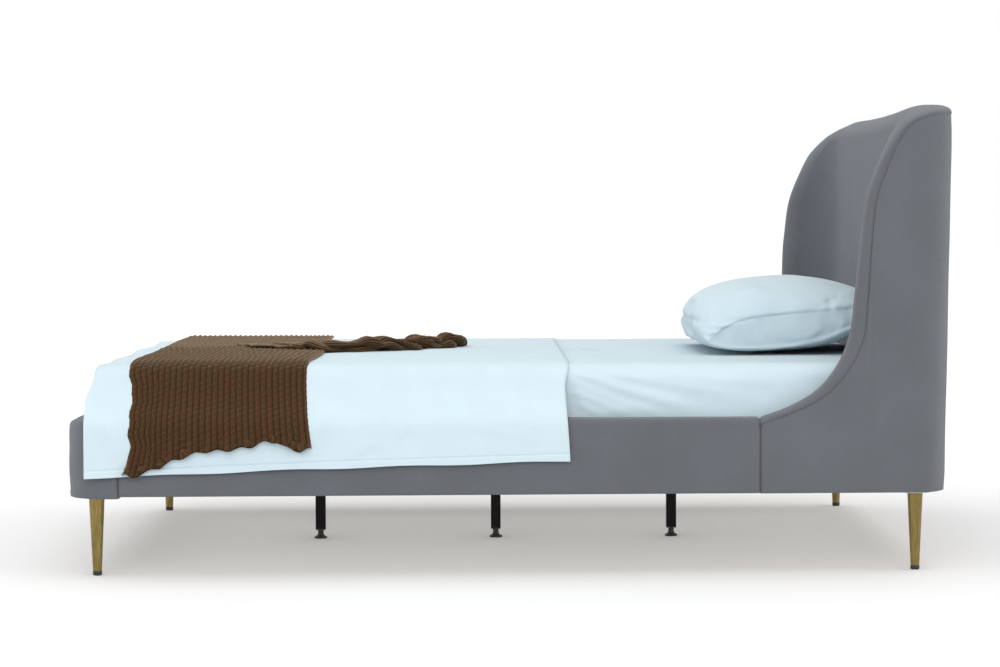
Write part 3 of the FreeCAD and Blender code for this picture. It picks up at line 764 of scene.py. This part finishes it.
def upholster(bulge):
    """One half of the headboard's skin, from a wing's toe to the middle of the back."""
    half, ribs, n_side, n_roll = crest_ribs(bulge)
    for rib in ribs:
        # cover drawn in at the joint with the rail
        pull = pulled(rib[0, 1] - HEAD_SEAM_Y)
        rib[:n_side, 0] -= pull
        rib[n_side : n_side + n_roll, 2] -= pull
        # soft fill: the outer face stands a little proud between the seams
        height = rib[:n_side, 2]
        gap = rib[n_side, 2] - height
        puff = 0.0022 * smooth(0, 0.06, gap) * smooth(0, 0.05, height - COVER_LOW) - 0.0014
        puff += 0.0007 * waves(rib[:n_side, 1] + rib[:n_side, 0], height, 0.22, 11)
        puff += 0.0012 * np.exp(-(((height - COVER_LOW - 0.013) / 0.0025) ** 2))
        corner = smooth(ARC_X, OUTER_X, rib[:n_side, 0])
        rib[:n_side, 0] += puff * corner
        rib[:n_side, 1] += puff * (1 - corner)
        # the rolled band is stitched down: a groove at its outer seam
        across = rib[n_side + n_roll - 1] - rib[n_side]
        ends = smooth(0, 0.05, rib[0, 1] - HEAD_SEAM_Y)
        ends = ends * (1 - 0.8 * smooth(1.0, 1.1, rib[0, 1]))
        across *= SEAM_GROOVE * ends / np.linalg.norm(across)
        for i, share in enumerate(GROOVE_SHAPE, -3):
            rib[n_side + i] += across * share
    # the back leans: its foot stands further forward than its top
    rise = np.clip((ribs[:, :, 2] - COVER_LOW) / (CROWN_Z - COVER_LOW), 0, 1)
    ribs[:, :, 1] -= BACK_LEAN * (1 - rise) * smooth(1.02, BACK_Y, ribs[:, :, 1])
    return half, ribs


def make_headboard():
    half, right = upholster(0)
    left = upholster(LEFT_BULGE)[1] * (-1, 1, 1)
    split = int(np.argmin(abs(half[:, 0] - COVER_SPLIT_X)))
    whole = np.concatenate((right, left[-2::-1]))
    normals = ring_normals(whole)
    last = len(whole) - split
    pieces = (
        ("right_wing_cover", slice(0, split + 1), "right_wing_padding"),
        ("headboard_cover", slice(split, last), "headboard_padding"),
        ("left_wing_cover", slice(last - 1, None), "left_wing_padding"),
    )
    for name, part, node in pieces:
        cover = loft(name, whole[part], "frame", FABRIC, [node])
        normal = normals[part].reshape(-1, 3).tolist()
        cover.data.normals_split_custom_set_from_vertices(normal)


def ring_normals(rings):
    """Outward normals over the whole shell, so that its pieces shade as one surface."""
    along = np.gradient(rings, axis=0)
    around = np.roll(rings, -1, axis=1) - np.roll(rings, 1, axis=1)
    n = np.cross(around, along)
    n /= np.maximum(np.linalg.norm(n, axis=2, keepdims=True), 1e-12)
    return n


make_camera()
make_light()
dress_cad()
make_side_rails()
make_foot()
make_headboard()


# ---- mattress and fitted sheet
BED_CORNER_R = 0.098
BED_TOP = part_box("fitted_sheet")[1].z


def rounded_outline(low, high, radius, inset, spacing):
    """Plan loop of a rounded rectangle, shrunk by inset: points and outward normals."""
    r = max(radius - inset, 0.001)
    x0, y0 = low[0] + inset + r, low[1] + inset + r
    x1, y1 = high[0] - inset - r, high[1] - inset - r
    n_arc = max(6, round(TAU / 4 * radius / spacing))
    across = round((high[0] - low[0] - 2 * radius) / spacing)
    along = round((high[1] - low[1] - 2 * radius) / spacing)
    loop = []
    for cx, cy, start, run, count in (
        (x1, y0, -90, (0, 1), along),
        (x1, y1, 0, (-1, 0), across),
        (x0, y1, 90, (0, -1), along),
        (x0, y0, 180, (1, 0), across),
    ):
        for a in np.radians(np.linspace(start, start + 90, n_arc, endpoint=False)):
            c, s = math.cos(a), math.sin(a)
            loop.append((cx + r * c, cy + r * s, c, s))
        a = math.radians(start + 90)
        c, s = math.cos(a), math.sin(a)
        span = (y1 - y0) if run[1] else (x1 - x0)
        for t in np.linspace(0, span, count, endpoint=False):
            loop.append((cx + r * c + run[0] * t, cy + r * s + run[1] * t, c, s))
    return np.array(loop)


def ring_at(low, high, inset, z, spacing):
    """A level loop round the bed: x, y, z and the outward normal's x, y."""
    loop = rounded_outline(low, high, BED_CORNER_R, inset, spacing)
    return np.column_stack((loop[:, :2], np.full(len(loop), z), loop[:, 2:]))


def bed_rings(low, high, edge, levels, spacing, ring_gap):
    """Rings from the bottom of the side up, over the rounded edge and in to the middle."""
    top = high.z
    rings = [ring_at(low, high, 0, z, spacing) for z in levels]
    for a in np.linspace(0.15, math.pi / 2, 8):
        z = top - edge + edge * math.sin(a)
        rings.append(ring_at(low, high, edge * (1 - math.cos(a)), z, spacing))
    centre = np.array((low.x + high.x, low.y + high.y)) / 2
    half_span = (high.x - low.x) / 2 - edge
    last = rings[-1]
    spine = last[:, :2].copy()
    spine[:, 0] = centre[0]
    reach = (high.y - low.y) / 2 - half_span
    spine[:, 1] = np.clip(spine[:, 1], centre[1] - reach, centre[1] + reach)
    for u in np.linspace(0, 1, round(half_span / ring_gap))[1:]:
        ring = last.copy()
        ring[:, :2] += (spine - last[:, :2]) * u * 0.9995
        rings.append(ring)
    return np.array(rings)


MATTRESS_LEVELS = np.array((0.014, 0.02, 0.03, 0.05, 0.075, 0.1, 0.125, 0.15, 0.17, 0.19))
MATTRESS_BELOW = (  # rings of the underside: inset, height
    (0.16, 0.0),
    (0.06, 0.0),
    (0.03, 0.0005),
    (0.012, 0.002),
    (0.003, 0.007),
)


def make_mattress():
    low, high = low_bed.copy(), high_bed.copy()
    high.z -= 0.0015
    for axis in (0, 1):
        low[axis] += 0.0025
        high[axis] -= 0.0025
    rings = bed_rings(low, high, 0.034, low.z + MATTRESS_LEVELS, 0.016, 0.03)
    below = [ring_at(low, high, inset, low.z + z, 0.016) for inset, z in MATTRESS_BELOW]
    rings = np.concatenate((below, rings))
    z = rings[:, :, 2]
    bulge = 0.003 * np.sin(np.clip((z - low.z) / 0.2, 0, 1) * math.pi) - 0.003
    side_on = smooth(low.z, low.z + 0.01, z) * (1 - smooth(high.z - 0.03, high.z, z))
    rings[:, :, :2] += rings[:, :, 3:] * (bulge * side_on)[..., None]
    mattress = loft("mattress_body", rings[:, :, :3], "bedding", TICKING, ["mattress"])
    # edge tape along the bottom border
    loop = rounded_outline(low, high, BED_CORNER_R, 0.002, 0.012)
    around = np.linspace(0, TAU, 9)[:-1]
    height = low.z + 0.0105 + 0.005 * np.sin(around)
    tape = [
        np.stack((x + nx * 0.0035 * np.cos(around), y + ny * 0.0035 * np.cos(around), height), -1)
        for x, y, nx, ny in np.vstack((loop, loop[:1]))
    ]
    loft("mattress_edge_tape", tape, "bedding", TICKING, caps=False)


SIDE_FOLDS = [  # where each starts: y, z, and where it ends: y, z, width, depth
    (0.150, 0.500, 0.470, 0.405, 0.011, 0.0065),
    (0.155, 0.475, 0.400, 0.385, 0.009, 0.0055),
    (0.160, 0.450, 0.330, 0.385, 0.009, 0.0060),
    (0.170, 0.512, 0.600, 0.440, 0.012, 0.0050),
    (0.165, 0.425, 0.260, 0.385, 0.008, 0.0045),
    (0.330, 0.500, 0.720, 0.470, 0.009, 0.0030),
]
TOP_FOLDS = [  # the same on the top: x, y to x, y, width, depth
    (0.70, 0.16, 0.20, 0.42, 0.016, 0.0022),
    (0.60, 0.15, -0.10, 0.28, 0.014, 0.0018),
    (0.74, 0.30, 0.35, 0.55, 0.018, 0.0020),
    (0.40, 0.16, -0.50, 0.20, 0.013, 0.0016),
]


def fold(a, b, a0, b0, a1, b1, width, depth):
    """A soft ridge along a line, highest where it starts and fading to its end."""
    length = math.hypot(a1 - a0, b1 - b0)
    ta, tb = (a1 - a0) / length, (b1 - b0) / length
    along = ((a - a0) * ta + (b - b0) * tb) / length
    off = (a - a0) * -tb + (b - b0) * ta + 0.006 * np.sin(along * 3.5)
    spread = width * (1 + 0.7 * np.clip(along, 0, 1))
    ends = smooth(-0.12, 0.08, along) * (1 - smooth(0.55, 1.05, along))
    beside = np.exp(-(((off - 1.6 * spread) / spread) ** 2))
    return depth * (np.exp(-((off / spread) ** 2)) - 0.45 * beside) * ends


def folds(total, a, b, table):
    """Adds every ridge of a table to what is there."""
    for row in table:
        total = total + fold(a, b, *row)
    return total


def make_fitted_sheet():
    low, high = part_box("fitted_sheet")
    hem = low.z
    side = np.linspace(hem + 0.012, high.z - 0.036, 20)
    levels = np.concatenate(((hem, hem + 0.003, hem + 0.006), side))
    rings = bed_rings(low, high, 0.036, levels, 0.009, 0.022)
    x, y, z = rings[:, :, 0], rings[:, :, 1], rings[:, :, 2]
    out = 0.0012 * waves(x * 2 + y * 2, z * 3, 0.3, 21) - 0.0015
    near = smooth(0.70, 0.76, x)
    far = smooth(0.70, 0.76, -x)
    for *line, depth in SIDE_FOLDS:
        out = out + fold(y, z, *line, depth) * near
        out = out + fold(y + 0.02, z, *line, 0.7 * depth) * far
    side_on = 1 - smooth(high.z - 0.03, high.z - 0.006, z)
    gather = 0.0008 * np.sin((x + y) * TAU / 0.021)
    gather = gather * (1 - smooth(hem + 0.01, hem + 0.06, z))
    rings[:, :, :2] += rings[:, :, 3:] * ((out + gather) * side_on)[..., None]
    top = folds(0.0007 * waves(x, y, 0.35, 22), x, y, TOP_FOLDS)
    rings[:, :, 2] += top * (1 - side_on)
    rows, columns = rings.shape[:2]
    points = rings[:, :, :3]
    faces = list(grid_faces(rows, columns, wrap=True))
    faces.append([(rows - 1) * columns + i for i in range(columns)])
    uv = points[:, :, :2].copy()
    uv[..., 0] += rings[:, :, 3] * (high.z - z)
    uv[..., 1] += rings[:, :, 4] * (high.z - z)
    points, uv = points.reshape(-1, 3), uv.reshape(-1, 2)
    sheet = build("fitted_sheet_cloth", points, faces, uv, "bedding", COTTON, ["fitted_sheet"])


# ---- flat sheet
FLAT_FOOT_Y, FLAT_HEAD_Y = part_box("flat_sheet")[0].y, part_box("flat_sheet")[1].y
DRAPE = [  # right half of the drape, from the middle of the bed down to the hem
    (0.000, 0.5222),
    (0.400, 0.5222),
    (0.690, 0.5220),
    (0.738, 0.5185),
    (0.760, 0.5080),
    (0.7715, 0.4880),
    (0.7860, 0.4550),
    (0.8060, 0.4210),
    (0.8260, 0.3960),
    (0.8350, 0.3780),
    (0.8365, 0.3400),
    (0.8365, 0.2900),
    (0.8365, 0.2000),
]


FLAT_CREASES = [  # of the hanging sides: y, z to y, z, width, depth
    (-0.470, 0.480, -0.500, 0.270, 0.006, 0.0022),
    (-0.180, 0.440, -0.330, 0.300, 0.008, 0.0022),
    (-0.330, 0.330, -0.420, 0.280, 0.008, 0.0018),
    (0.060, 0.470, 0.020, 0.290, 0.010, 0.0018),
    (-1.000, 0.470, -0.985, 0.290, 0.010, 0.0026),
    (-0.120, 0.380, 0.110, 0.330, 0.008, 0.0014),
]
FLAT_TOP_CREASES = [  # x, y to x, y, width, depth
    (0.70, -0.95, 0.30, -0.90, 0.02, 0.003),
    (0.72, 0.08, 0.10, 0.02, 0.02, 0.0025),
    (0.30, -0.20, -0.60, -0.28, 0.02, 0.002),
    (0.74, -0.30, 0.30, -0.10, 0.02, 0.002),
]
FLAT_ROWS, HANG_STEPS = 124, 43  # along the bed, and down its sides
FLAT_BEND_Z = 0.30  # below this height the sides are stretched to reach the hem


def hem_height(y):
    """Height of the flat sheet's lower edge: it climbs towards the head."""
    return np.interp(y, (FLAT_FOOT_Y, -0.525, FLAT_HEAD_Y), (0.247, 0.266, 0.283))


def drape_rows(step):
    path = spline([(x, 0, z) for x, z in DRAPE], step)
    return path[:, 0], path[:, 2]


def flat_sheet_grid():
    """The sheet smooth over the bed, with its hems and edges: a row for each place along."""
    x_half, z_half = drape_rows(0.008)
    over = int(np.argmax(z_half < FLAT_BEND_Z))
    down = np.linspace(0, 1, HANG_STEPS + 1)[1:]
    half = []
    for side in (1, -1):
        block = []
        for t in np.linspace(0, 1, FLAT_ROWS):
            y = FLAT_FOOT_Y + (FLAT_HEAD_Y - FLAT_FOOT_Y) * t
            hem = float(hem_height(y)) + 0.0016 * math.sin(y * 21 + side)
            start = z_half[over - 1]
            z = np.concatenate((z_half[:over], start + (hem - start) * down))
            x = np.concatenate((x_half[:over], np.full(len(down), x_half[-1])))
            yy = np.full(len(x), y)
            fall = smooth(0.50, 0.25, z)
            # foot edge slants forward as it falls; head edge bows a little
            yy = yy + (1 - smooth(0, 0.12, t)) * (0.008 - 0.019 * smooth(0.50, 0.43, z))
            yy = yy + smooth(0.9, 1, t) * (0.012 * fall - 0.010 * smooth(0.52, 0.46, z))
            block.append(np.stack((side * x, yy, z), axis=-1))
        half.append(np.array(block))
    return np.concatenate((half[1][:, :0:-1], half[0]), axis=1)


def make_flat_sheet():
    points = flat_sheet_grid()
    x, y, z = (points[:, :, i] for i in range(3))
    hang = smooth(0.44, 0.36, z)
    fall = np.clip((0.40 - z) / 0.15, 0, 1)
    ripple = 0.0016 * waves(y, z * 0.25, 0.30, 31)
    ripple = ripple + 0.0012 * waves(y, z * 0.1, 0.11, 32) * fall
    # the hem is turned over and stitched, which leaves a dip above it
    hem_line = z - hem_height(y)
    fell = 0.0022 * smooth(0.017, 0.0145, hem_line)
    fell = fell - 0.0012 * np.exp(-(((hem_line - 0.018) / 0.0022) ** 2))
    creases = folds(0, y, z, FLAT_CREASES)
    points[:, :, 0] += np.sign(x) * hang * (ripple + 0.0008 + fell + creases)
    lie = 0.0009 * waves(x, y, 0.28, 33) + 0.0006 * waves(x, y, 0.12, 34)
    lie = folds(lie, x, y, FLAT_TOP_CREASES)
    points[:, :, 2] += lie * (1 - smooth(0.70, 0.78, abs(x))) + 0.0012
    # at the foot end it lies lower in soft waves, then tucks down behind the mattress
    tuck = []
    for drop in (0.24, 0.18, 0.12, 0.06, 0.03, 0.012):
        line = points[0].copy()
        inside = 1 - smooth(0.725, 0.765, abs(line[:, 0]))
        line[:, 2] -= drop * inside
        back = 0.004 * inside * smooth(0, 0.03, drop) + 0.001 * (1 - inside) * drop / 0.24
        line[:, 1] -= back
        tuck.append(line)
    points = np.concatenate((tuck, points))
    foot = 1 - smooth(0, 0.10, points[:, :, 1] - FLAT_FOOT_Y)
    top = smooth(0.50, 0.52, points[:, :, 2])
    crimp = 0.0045 * waves(points[:, :, 0], points[:, :, 0] * 0, 0.26, 36)
    points[:, :, 2] += foot * top * (crimp - 0.006)
    faces = grid_faces(*points.shape[:2], flip=True)
    uv = np.stack((lengths(points, 0), lengths(points, 1)), axis=-1).reshape(-1, 2)
    points = points.reshape(-1, 3)
    sheet = build("flat_sheet_cloth", points, faces, uv, "bedding", COTTON, ["flat_sheet"])
    modify(sheet, "SOLIDIFY", thickness=0.0016, offset=-1)


# ---- throw
KNIT_DEPTH = 0.0050
THROW_COLUMNS, CURL_STEPS = 400, 21
THROW_BEND_Z = 0.368  # below this height the hanging end is stretched to reach its hem
THROW_LOW_Y, THROW_HIGH_Y = -0.953, -0.513
THROW_FAR_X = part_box("throw_blanket")[0].x
THROW_HEM = [  # lower edge where it hangs: y, z
    (-0.962, 0.254),
    (-0.938, 0.248),
    (-0.869, 0.273),
    (-0.842, 0.284),
    (-0.802, 0.298),
    (-0.770, 0.307),
    (-0.731, 0.312),
    (-0.672, 0.317),
    (-0.606, 0.331),
    (-0.579, 0.332),
    (-0.559, 0.317),
    (-0.523, 0.308),
    (-0.493, 0.316),
]


def knit_relief(across, along):
    """Height of the knit: columns of knotted cable, with a thin plain rib between them."""
    place = np.mod(across / (2 * RIB), 1.0)
    turn = along * TAU / CABLE + 2.4 * np.floor(across / (2 * RIB))
    centre = 0.33 + 0.09 * np.sin(turn)
    cable = (0.66 - 0.34 * np.cos(turn)) * np.clip(1 - ((place - centre) / 0.33) ** 2, 0, 1)
    plain = 0.42 * np.clip(1 - ((place - 0.83) / 0.17) ** 2, 0, 1)
    return KNIT_DEPTH * np.maximum(cable, plain)


THROW_LUMPS = [  # ruffles of the hanging end: y at the top, y at the hem, depth
    (-0.925, -0.955, 0.016),
    (-0.885, -0.905, 0.012),
    (-0.838, -0.850, 0.015),
    (-0.785, -0.800, 0.018),
    (-0.742, -0.748, 0.014),
    (-0.698, -0.700, 0.018),
    (-0.650, -0.655, 0.016),
    (-0.612, -0.600, 0.013),
    (-0.565, -0.552, 0.016),
    (-0.530, -0.512, 0.020),
]


def throw_grid(v, hem_y, hem_z):
    """The throw before its relief: across the bed, down the near side and curled up."""
    x_half, z_half = drape_rows(0.0029)
    far = np.arange(THROW_FAR_X, -0.003, 0.006)
    x_path = np.concatenate((far, x_half))
    z_path = np.concatenate((np.full(len(far), z_half[0]), z_half))
    curl = np.linspace(0, 1, CURL_STEPS + 1)[1:]  # the hem curls outward and up
    over = int(np.argmax(z_path < THROW_BEND_Z))
    grid = []
    for t in v:
        y_top = THROW_LOW_Y + (THROW_HIGH_Y - THROW_LOW_Y) * t
        y_end = hem_y[0] + (hem_y[-1] - hem_y[0]) * t
        low = np.interp(y_end, hem_y, hem_z) + 0.005 + 0.004 * math.sin(y_end * TAU / 0.057)
        start = z_path[over]
        hang = np.clip((start - z_path[over:]) / (start - z_path[-1]), 0, 1)
        z = np.concatenate((z_path[:over], start + (low - start) * hang))
        run = smooth(0.50, 0.27, z)
        y = y_top + (y_end - y_top) * run
        # the left edge waves in and out as it hangs; the far end fans a little
        edge = 1 - smooth(0, 0.25, t)
        hung = smooth(0.50, 0.46, z)
        drawn_in = 0.011 * hung + 0.006 * smooth(0.37, 0.32, z)
        drawn_in = drawn_in - 0.017 * smooth(0.31, 0.255, z) + 0.002 * np.sin(z * 120) * hung
        y = y + edge * drawn_in
        y = y - 0.016 * (1 - t) * smooth(0.4, -0.6, x_path)
        y = y + 0.014 * smooth(0.75, 1, t) * np.sin(x_path * 3.1 + 0.6) * (1 - run)
        r = 0.0080 + 0.0025 * float(waves(y_end, 0.0, 0.05, 44))
        turn = curl * math.radians(165 + 25 * float(waves(y_end, 0.0, 0.06, 45)))
        # it stands out as far as the drape does at the same height
        x_fall = np.interp(-z[over:], -z_path[over:], x_path[over:])
        x = np.concatenate((x_path[:over], x_fall, x_fall[-1] + r * (1 - np.cos(turn))))
        z = np.concatenate((z, z[-1] - r * np.sin(turn)))
        y = np.concatenate((y, np.full(len(turn), y[-1])))
        grid.append(np.stack((x, y, z), axis=-1))
    return np.stack(grid, axis=1)


def make_throw():
    v = np.linspace(0, 1, THROW_COLUMNS)
    hem_y, hem_z = np.array(THROW_HEM).T
    grid = throw_grid(v, hem_y, hem_z)
    normal = np.cross(np.gradient(grid, axis=0), np.gradient(grid, axis=1))
    normal /= np.linalg.norm(normal, axis=2, keepdims=True)
    along = lengths(grid, 0)
    across = np.broadcast_to(v * (THROW_HIGH_Y - THROW_LOW_Y), along.shape)
    x, y, z = (grid[:, :, i] for i in range(3))
    hang = smooth(0.46, 0.38, z)
    drop = np.clip(1 - (z - np.interp(y, hem_y, hem_z)) / 0.085, 0, 1)
    body = 0.0030 + 0.0014 * waves(x + z, y, 0.16, 41)
    for y_high, y_low, depth in THROW_LUMPS:
        centre = y_high + (y_low - y_high) * drop
        body = body + drop**2.2 * depth * np.exp(-(((y - centre) / 0.0125) ** 2))
    body = body + drop**2 * 0.0035 * (1 + waves(y, z * 0.4, 0.06, 42))
    body = body + hang * 0.0012
    edges = smooth(0, 0.010, across) * smooth(0, 0.010, across.max() - across)
    ends = smooth(0, 0.008, along.max(0) - along) * smooth(0, 0.010, along)
    height = (knit_relief(across, along) + body) * np.sqrt(np.clip(edges * ends, 0, 1))
    clear = 0.0015 + 0.0045 * (1 - smooth(0.70, 0.76, x))
    grid = grid + normal * (height + clear)[..., None]
    n, m = grid.shape[:2]
    uv = np.stack((across, along), axis=-1).reshape(-1, 2)
    tail_points, tail_faces, tail_uv = throw_tail(start=n * m)
    points = np.concatenate((grid.reshape(-1, 3), tail_points))
    faces, uv = [*grid_faces(n, m), *tail_faces], np.concatenate((uv, tail_uv))
    throw = build("throw_cloth", points, faces, uv, "bedding", KNIT, ["throw_blanket"])


TAIL = [  # middle of the twisted end on the bed: x, y, half width, half height
    (-0.060, -0.740, 0.030, 0.0030),
    (0.040, -0.660, 0.060, 0.0055),
    (0.110, -0.570, 0.072, 0.0085),
    (0.140, -0.490, 0.074, 0.0125),
    (0.110, -0.410, 0.070, 0.0150),
    (0.060, -0.330, 0.064, 0.0140),
    (0.010, -0.265, 0.058, 0.0155),
    (-0.050, -0.215, 0.052, 0.0140),
    (-0.110, -0.172, 0.046, 0.0150),
    (-0.160, -0.146, 0.036, 0.0135),
    (-0.195, -0.130, 0.016, 0.0080),
    (-0.202, -0.127, 0.004, 0.0030),
]
TAIL_STRANDS = 3
TAIL_TWIST = 21.0  # radians for each metre
TAIL_BUMPS = (0.30, 0.42, 0.50, 0.60, 0.72)  # metres along, where it is bunched up


def throw_tail(start):
    """The end of the throw, twisted into a rope of three flattened, ribbed strands."""
    rows = spline([(x, y, 0, w, h) for x, y, w, h in TAIL], 0.004)
    run = distance(rows[:, :2])
    step = np.gradient(rows[:, :2], axis=0)
    step /= np.linalg.norm(step, axis=1, keepdims=True)
    on_band = 1 - smooth(-0.56, -0.49, rows[:, 1])
    base = BED_TOP + 0.0035 + 0.009 * on_band
    angles = np.linspace(0, TAU, 73)[:-1]
    points, faces, uvs = [], [], []
    for strand in range(TAIL_STRANDS):
        rings = []
        for (x, y, _, w, h), s, (tx, ty), low in zip(rows, run, step, base):
            turn = s * TAIL_TWIST + strand * TAU / TAIL_STRANDS + 0.9 * math.sin(s * 23)
            lump = 1 + 0.30 * math.sin(s * 61 + strand * 2.1)
            lump = lump + 0.12 * math.sin(s * 117 + strand)
            ribs = 1 + 0.16 * (abs(np.sin(angles * 6 + turn)) - 0.6)
            bump = 1 + sum(0.30 * math.exp(-(((s - at) / 0.022) ** 2)) for at in TAIL_BUMPS)
            side = w * 0.42 * math.cos(turn) + w * 0.48 * np.cos(angles) * ribs * lump
            up = 0.95 + 0.68 * math.sin(turn) + 0.66 * np.sin(angles) * ribs * lump
            up = bump * h * up
            ring = np.stack((x - ty * side, y + tx * side, low + np.maximum(up, 0)), axis=-1)
            rings.append(ring)
        rings = np.array(rings)
        n, m = rings.shape[:2]
        place = np.broadcast_to(angles * 0.012, (n, m))
        faces.append(grid_faces(n, m, wrap=True, start=start + strand * n * m))
        points.append(rings.reshape(-1, 3))
        uvs.append(np.stack((place, lengths(rings, 0)), axis=-1).reshape(-1, 2))
    return np.concatenate(points), np.concatenate(faces), np.concatenate(uvs)


# ---- pillow
low_pillow, high_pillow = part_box("pillow")
PILLOW_SEAM_UP = 0.0190  # how far the seam's middle stands above the box's middle
PILLOW_RISE = 0.048  # how much higher the seam is on the head side than on the foot side
PILLOW_UPPER, PILLOW_LOWER = 0.099, 0.126  # how far the two layers bulge from the seam
PILLOW_COLUMNS, PILLOW_ROWS = 96, 70


def pillow_envelope():
    """Two layers of cloth sewn round the edge and filled, leaning back on the bed."""
    low, high = low_pillow, high_pillow
    nx, ny = PILLOW_COLUMNS, PILLOW_ROWS
    u = np.sin(np.linspace(-math.pi / 2, math.pi / 2, nx))[:, None] * np.ones(ny)
    v = np.ones(nx)[:, None] * np.sin(np.linspace(-math.pi / 2, math.pi / 2, ny))
    mid_x, mid_y, mid_z = (low + high) / 2
    x = mid_x + u * (high.x - low.x) / 2 * (1 - 0.03 * abs(v) ** 3)
    y = mid_y + v * ((high.y - low.y) / 2 + 0.006) * (1 - 0.13 * abs(u) ** 4)
    seam = mid_z + PILLOW_SEAM_UP + PILLOW_RISE * v / 2
    ears = u**4 * np.maximum(-v, 0) ** 4
    seam = seam - 0.034 * ears - 0.012 * abs(u) ** 6
    along = np.clip(1 - abs(u) ** 2.9, 0, 1) ** 0.5
    lean = v + 0.2 * (1 - v**2)  # the fill has slid towards the foot side
    crown = seam + PILLOW_UPPER * along * np.clip(1 - abs(lean) ** 2.3, 0, 1) ** 0.55
    belly = seam - PILLOW_LOWER * along**0.36 * np.clip(1 - abs(v) ** 2.6, 0, 1) ** 0.5
    top = np.stack((x, y, crown), axis=-1).reshape(-1, 3)
    inner = np.zeros((nx, ny), bool)
    inner[1:-1, 1:-1] = True
    inner = inner.ravel()
    below = np.arange(nx * ny)
    below[inner] = nx * ny + np.arange(inner.sum())
    bottom = np.stack((x, y, belly), axis=-1).reshape(-1, 3)[inner]
    skin = grid_faces(nx, ny)
    uv = np.concatenate((top[:, :2], bottom[:, :2]))
    return np.concatenate((top, bottom)), [*skin, *below[skin][:, ::-1]], uv


PILLOW_FOLDS = [  # wrinkles of the near end: y, z to y, z, width, depth
    (0.920, 0.655, 0.800, 0.560, 0.007, -0.0050),
    (0.900, 0.640, 0.845, 0.565, 0.006, -0.0045),
    (0.905, 0.672, 0.790, 0.640, 0.006, -0.0040),
    (0.880, 0.690, 0.825, 0.610, 0.006, -0.0036),
    (0.850, 0.700, 0.860, 0.600, 0.005, -0.0036),
    (0.900, 0.620, 0.760, 0.555, 0.007, 0.0040),
    (0.520, 0.592, 0.700, 0.606, 0.005, -0.0045),
    (0.660, 0.612, 0.820, 0.622, 0.005, -0.0050),
    (0.510, 0.575, 0.640, 0.560, 0.007, -0.0030),
    (0.505, 0.560, 0.560, 0.530, 0.006, -0.0035),
    (0.620, 0.590, 0.740, 0.552, 0.008, -0.0025),
]


def inflate(obj, pressure, frames, cap):
    """Runs Blender's cloth on a closed shape and keeps the result, with limited travel."""
    before = np.array([v.co for v in obj.data.vertices])
    cloth = modify(obj, "CLOTH").settings
    cloth.use_pressure = True
    cloth.uniform_pressure_force = pressure
    cloth.effector_weights.gravity = 0
    cloth.quality = 6
    cloth.mass = 0.25
    cloth.tension_stiffness = cloth.compression_stiffness = 25
    cloth.shear_stiffness = 12
    cloth.bending_stiffness = 0.35
    obj.modifiers[0].point_cache.frame_start = 1
    obj.modifiers[0].point_cache.frame_end = frames
    for f in range(1, frames + 1):
        scene.frame_set(f)
    graph = bpy.context.evaluated_depsgraph_get()
    after = np.array([v.co for v in obj.evaluated_get(graph).data.vertices])
    obj.modifiers.clear()
    scene.frame_set(1)
    travel = after - before
    far = np.linalg.norm(travel, axis=1, keepdims=True)
    travel *= np.minimum(1, cap / np.maximum(far, 1e-9))
    obj.data.vertices.foreach_set("co", (before + travel).ravel())
    obj.data.update()


def make_pillow():
    points, faces, uv = pillow_envelope()
    pillow = build("pillow_case", points, faces, uv, "pillow", COTTON, ["pillow"])
    inflate(pillow, 1.2, 18, 0.009)
    points = np.array([v.co for v in pillow.data.vertices])
    x, y, z = points.T
    mid_x, mid_y, mid_z = (low_pillow + high_pillow) / 2
    u = (x - mid_x) / (high_pillow.x - low_pillow.x) * 2
    v = (y - mid_y) / (high_pillow.y - low_pillow.y) * 2
    # drawn in along the seam
    seam = mid_z + PILLOW_SEAM_UP + PILLOW_RISE * v / 2 - 0.012 * abs(u) ** 6
    rim = np.maximum(abs(u), abs(v)) ** 12
    pinch = 0.014 * rim * np.exp(-(((z - seam) / 0.009) ** 2))
    x = x - (x - mid_x) * pinch
    y = y - (y - mid_y) * pinch * 2
    # wrinkles
    end = smooth(0.55, 0.95, abs(u))
    push = folds(0.0014 * waves(y, z, 0.07, 51), y, z, PILLOW_FOLDS)
    x = x + np.sign(u) * push * end
    uneven = 0.0022 * waves(x, y, 0.16, 52) + 0.0012 * waves(x, y, 0.06, 53)
    z = z + uneven * smooth(1, 0.8, abs(u))
    head = smooth(0.45, 0.95, v) * smooth(0.2, 0.9, abs(u))
    z = z + 0.0045 * head * np.sin(abs(u) * 17 + v * 21)
    # it lies flattened on the sheet, with a soft change from one to the other
    lowest, soft = BED_TOP + 0.0030, 0.006
    z = lowest + soft * np.logaddexp(0, (z - lowest) / soft) - 0.0008
    y = np.minimum(y, FACE_Y - 0.006)
    pillow.data.vertices.foreach_set("co", np.column_stack((x, y, z)).ravel())
    pillow.data.update()
    modify(pillow, "SUBSURF", levels=1, render_levels=1)


make_mattress()
make_fitted_sheet()
make_flat_sheet()
make_throw()
make_pillow()

# ---- floor
bpy.ops.mesh.primitive_plane_add(size=160, location=(0, 0, 0))
floor = bpy.context.object
floor.name = "floor"
floor.data.materials.append(make_floor_material())
